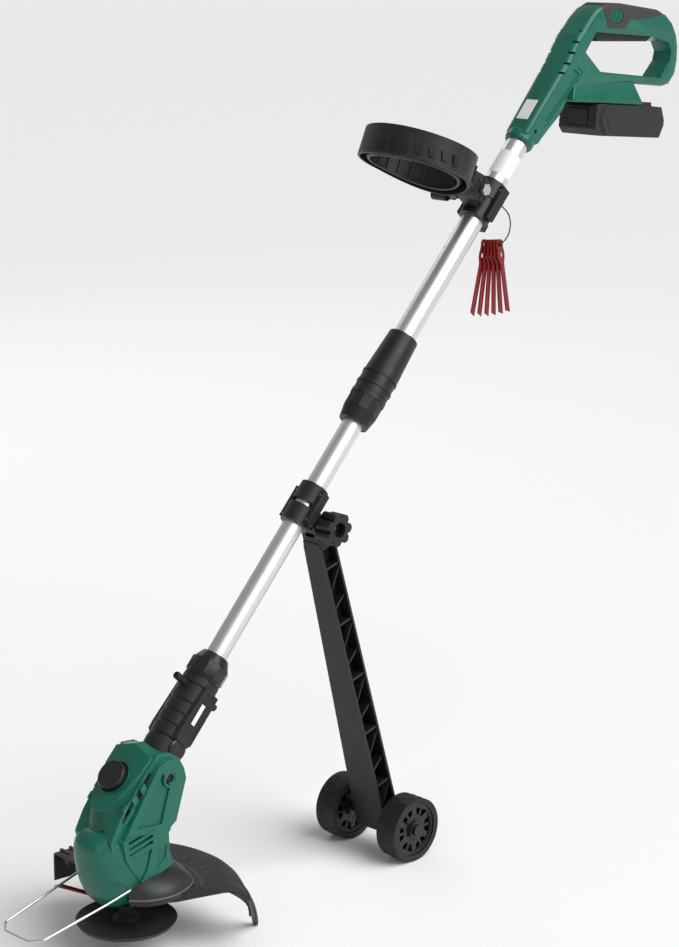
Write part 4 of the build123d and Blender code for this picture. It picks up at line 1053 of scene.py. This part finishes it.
def pivot_stars():
    """Raised radial ribs round the pivot bolt, on the near face of the loop's ear."""
    pivot = (Vector(JOINTS["loop_handle_tilt"]["pos_m"]) - PIVOT) / MM
    for k in range(8):
        a = radians(22.5 + 45 * k)
        out, run = Vector((cos(a), sin(a))), Vector((-sin(a), cos(a)))
        corners = [out * 8.4 - run * 0.9, out * 8.4 + run * 0.9, out * 14.0 + run * 1.6,
            out * 14.0 - run * 1.6]
        rib = slab(f"pivot_star_{k}", [(pivot.x + c.x, pivot.z + c.y) for c in corners], -25.1, -23.8)
        placed(rounded(rib, 0.3), "aux_handle", BLACK_GLOSS)


pivot_stars()


# ---- battery details ----
def battery_plate(name, outline, side, low, high, width, material):
    """A raised or dark plate on the battery's side."""
    plate = extruded(name, [battery_frame(x, side * low, z) for x, z in outline],
        [battery_frame(x, side * high, z) for x, z in outline])
    placed(rounded(plate, width), "battery", material)


def battery_details(side, word):
    panel = [(-40, -17), (-50, 0), (-40, 16), (56, 16), (67, 3), (67, -3), (56, -17)]
    battery_plate("battery_panel_" + word, panel, side, 29.0, 30.6, 0.8, PACK)
    chevron = [(-53, -18.6), (-63, 0), (-53, 18.6), (-44, 18.6), (-54, 0), (-44, -18.6)]
    battery_plate("battery_chevron_" + word, chevron, side, 28.5, 31.2, 1.0, PACK)
    band = [(-59, -17), (-67, -1), (-66, 12), (-62, 16), (-57, 16), (-64.6, 0), (-56, -17)]
    battery_plate("battery_band_" + word, band, side, 29.0, 30.25, 0.2, PACK_DARK)


both_sides(battery_details)


# ---- tube label ----
def tube_label():
    band = turned("tube_label", [(14.02, 850), (14.12, 850), (14.12, 884), (14.02, 884)], (0, 0, 0),
        UP_SHAFT, steps=96)
    placed(rounded(band, 0), "root", LABEL)


tube_label()


# ---- light and floor ----
def make_light(name, place, target, size, power):
    data = bpy.data.lights.new(name, "AREA")
    data.shape = "RECTANGLE"
    data.size, data.size_y = size
    data.energy = power
    light = bpy.data.objects.new(name, data)
    bpy.context.scene.collection.objects.link(light)
    light.location = place
    light.rotation_euler = (Vector(place) - Vector(target)).to_track_quat("Z", "Y").to_euler()


def make_stage():
    bm = bmesh.new()
    for corner in ((-60, -60), (60, -60), (60, 60), (-60, 60)):
        bm.verts.new((corner[0], corner[1], 0))
    bm.faces.new(bm.verts)
    floor = new_object("floor", bm)
    material, nodes, links = new_material("floor_paper")
    shader = nodes["Principled BSDF"]
    noise = add(nodes, "ShaderNodeTexNoise", Scale=3.0, Detail=2.0)
    links.new(mixed_colour(nodes, links, noise.outputs["Fac"], (0.88, 0.88, 0.88), (0.92, 0.92, 0.92)),
        shader.inputs["Base Color"])
    shader.inputs["Roughness"].default_value = 0.9
    floor.data.materials.append(material)
    world = bpy.data.worlds.new("studio")
    world.use_nodes = True
    world.node_tree.nodes["Background"].inputs["Color"].default_value = (1, 1, 1, 1)
    world.node_tree.nodes["Background"].inputs["Strength"].default_value = 0.30
    bpy.context.scene.world = world
    middle = at(374, 20, 300)
    make_light("key", (0.6, -3.2, 2.6), middle, (1.8, 1.8), 22)
    make_light("side", (-3.2, -1.2, 1.6), middle, (1.2, 2.2), 10)
    make_light("back", (1.0, 3.0, 2.4), middle, (2.0, 1.5), 12)
    sun_data = bpy.data.lights.new("sun", "SUN")
    sun_data.energy = 2.8
    sun_data.angle = radians(60)
    sun = bpy.data.objects.new("sun", sun_data)
    bpy.context.scene.collection.objects.link(sun)
    sun.rotation_euler = Vector((0.25, -0.72, 0.78)).to_track_quat("Z", "Y").to_euler()
    bpy.context.scene.view_settings.view_transform = "Standard"


make_stage()
